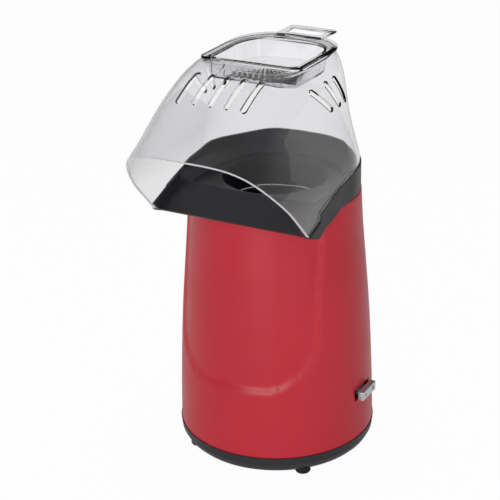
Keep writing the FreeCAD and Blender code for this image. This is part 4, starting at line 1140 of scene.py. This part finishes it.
tab = block(
    (AXIS.x - TAB_HALF_W, FLANGE_BACK - 8 * MM, flange_low),
    (AXIS.x + TAB_HALF_W, cup_high.y, rim_high),
)
round_corners(tab, lambda place: place.y > FLANGE_BACK, TAB_CORNER, 6)
finger = block(
    (AXIS.x - FINGER_HALF_W, FINGER_FRONT, flange_low - MM),
    (AXIS.x + FINGER_HALF_W, FINGER_BACK, cup_high.z + MM),
)
bpy.ops.mesh.primitive_cylinder_add(
    vertices=20, radius=HOLE_R, depth=6 * MM, location=FIRST_HOLE
)
drips = alone(bpy.context.object)
modify(
    drips,
    "ARRAY",
    count=HOLES,
    use_relative_offset=False,
    use_constant_offset=True,
    constant_offset_displace=(HOLE_PITCH, 0, 0),
)
alone(cup)
modify(cup, "BOOLEAN", operation="UNION", object=tab, solver="EXACT")
for punch in (finger, drips):
    modify(cup, "BOOLEAN", operation="DIFFERENCE", object=punch, solver="EXACT")
for tool in (tab, finger, drips):
    bpy.data.objects.remove(tool)
soften(cup, 0.7 * MM, 3)
settle(cup, "clear_cup", "cup", CUP_CLEAR, ["measuring_cup"])

# %% [markdown]
# The popping cup is drawn from sheet, and where its wall turns out into the
# flange the metal is rolled and polished by the drawing die. That lip is the
# one bright line down in the mouth, and a thin torus makes it.

# %% Polished lip of the popping cup
LIP_R = 41.8 * MM
LIP_ROUND = 0.75 * MM
LIP_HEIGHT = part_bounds("popping_chamber")[1].z - 0.2 * MM

bpy.ops.object.select_all(action="DESELECT")
bpy.ops.mesh.primitive_torus_add(
    major_radius=LIP_R,
    minor_radius=LIP_ROUND,
    major_segments=160,
    minor_segments=12,
    location=(AXIS.x, AXIS.y, LIP_HEIGHT),
)
settle(alone(bpy.context.object), "chamber_lip", "body", POLISHED)

# %% [markdown]
# ## The switch
#
# A silver bar stands out of the side and rocks about an upright pin. It is a
# block with its edges rounded, longer than it is tall, on a short neck. Two
# loose blocks would show a seam, so the neck is joined to the bar as one mesh.

# %% Switch bar
bar_low, bar_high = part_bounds("switch_rocker")
BAR_FACE = bar_high.x - 0.3 * MM
BAR_BACK = bar_high.x - 5.6 * MM
BAR_TALL = 8.2 * MM
NECK_HALF_W = 6 * MM
NECK_HALF_TALL = 2.6 * MM
bar_middle_y = (bar_low.y + bar_high.y) / 2

bar = block(
    (BAR_BACK, bar_low.y, SWITCH_HEIGHT - BAR_TALL / 2),
    (BAR_FACE, bar_high.y, SWITCH_HEIGHT + BAR_TALL / 2),
)
modify(bar, "BEVEL", width=0.9 * MM, segments=4)
neck = block(
    (bar_low.x + MM, bar_middle_y - NECK_HALF_W, SWITCH_HEIGHT - NECK_HALF_TALL),
    (BAR_BACK + 0.6 * MM, bar_middle_y + NECK_HALF_W, SWITCH_HEIGHT + NECK_HALF_TALL),
)
modify(neck, "BEVEL", width=0.6 * MM, segments=2)
alone(bar)
modify(bar, "BOOLEAN", operation="UNION", object=neck, solver="EXACT")
bpy.data.objects.remove(neck)
settle(bar, "switch_bar", "switch", SILVER, ["switch_rocker"])

# %% [markdown]
# The bar's two ends carry plain marks, a line and a ring, raised by a hair, as
# many switches have. Real shapes are used for them, not a painted pattern, so
# that they catch the light.

# %% Switch marks
MARK_T = 0.25 * MM
LINE_Y = (bar_low.y + 5.2 * MM, bar_low.y + 6.0 * MM)
LINE_HALF_TALL = 1.7 * MM
RING_PLACE = (BAR_FACE - 0.1 * MM, bar_high.y - 5.6 * MM, SWITCH_HEIGHT)

line = block(
    (BAR_FACE - MARK_T, LINE_Y[0], SWITCH_HEIGHT - LINE_HALF_TALL),
    (BAR_FACE + MARK_T, LINE_Y[1], SWITCH_HEIGHT + LINE_HALF_TALL),
)
modify(line, "BEVEL", width=0.15 * MM, segments=2)
settle(line, "on_mark", "switch", MARK)
bpy.ops.object.select_all(action="DESELECT")
bpy.ops.mesh.primitive_torus_add(
    major_radius=1.5 * MM,
    minor_radius=0.35 * MM,
    major_segments=40,
    minor_segments=8,
    location=RING_PLACE,
    rotation=(0, math.pi / 2, 0),
)
settle(alone(bpy.context.object), "off_mark", "switch", MARK)
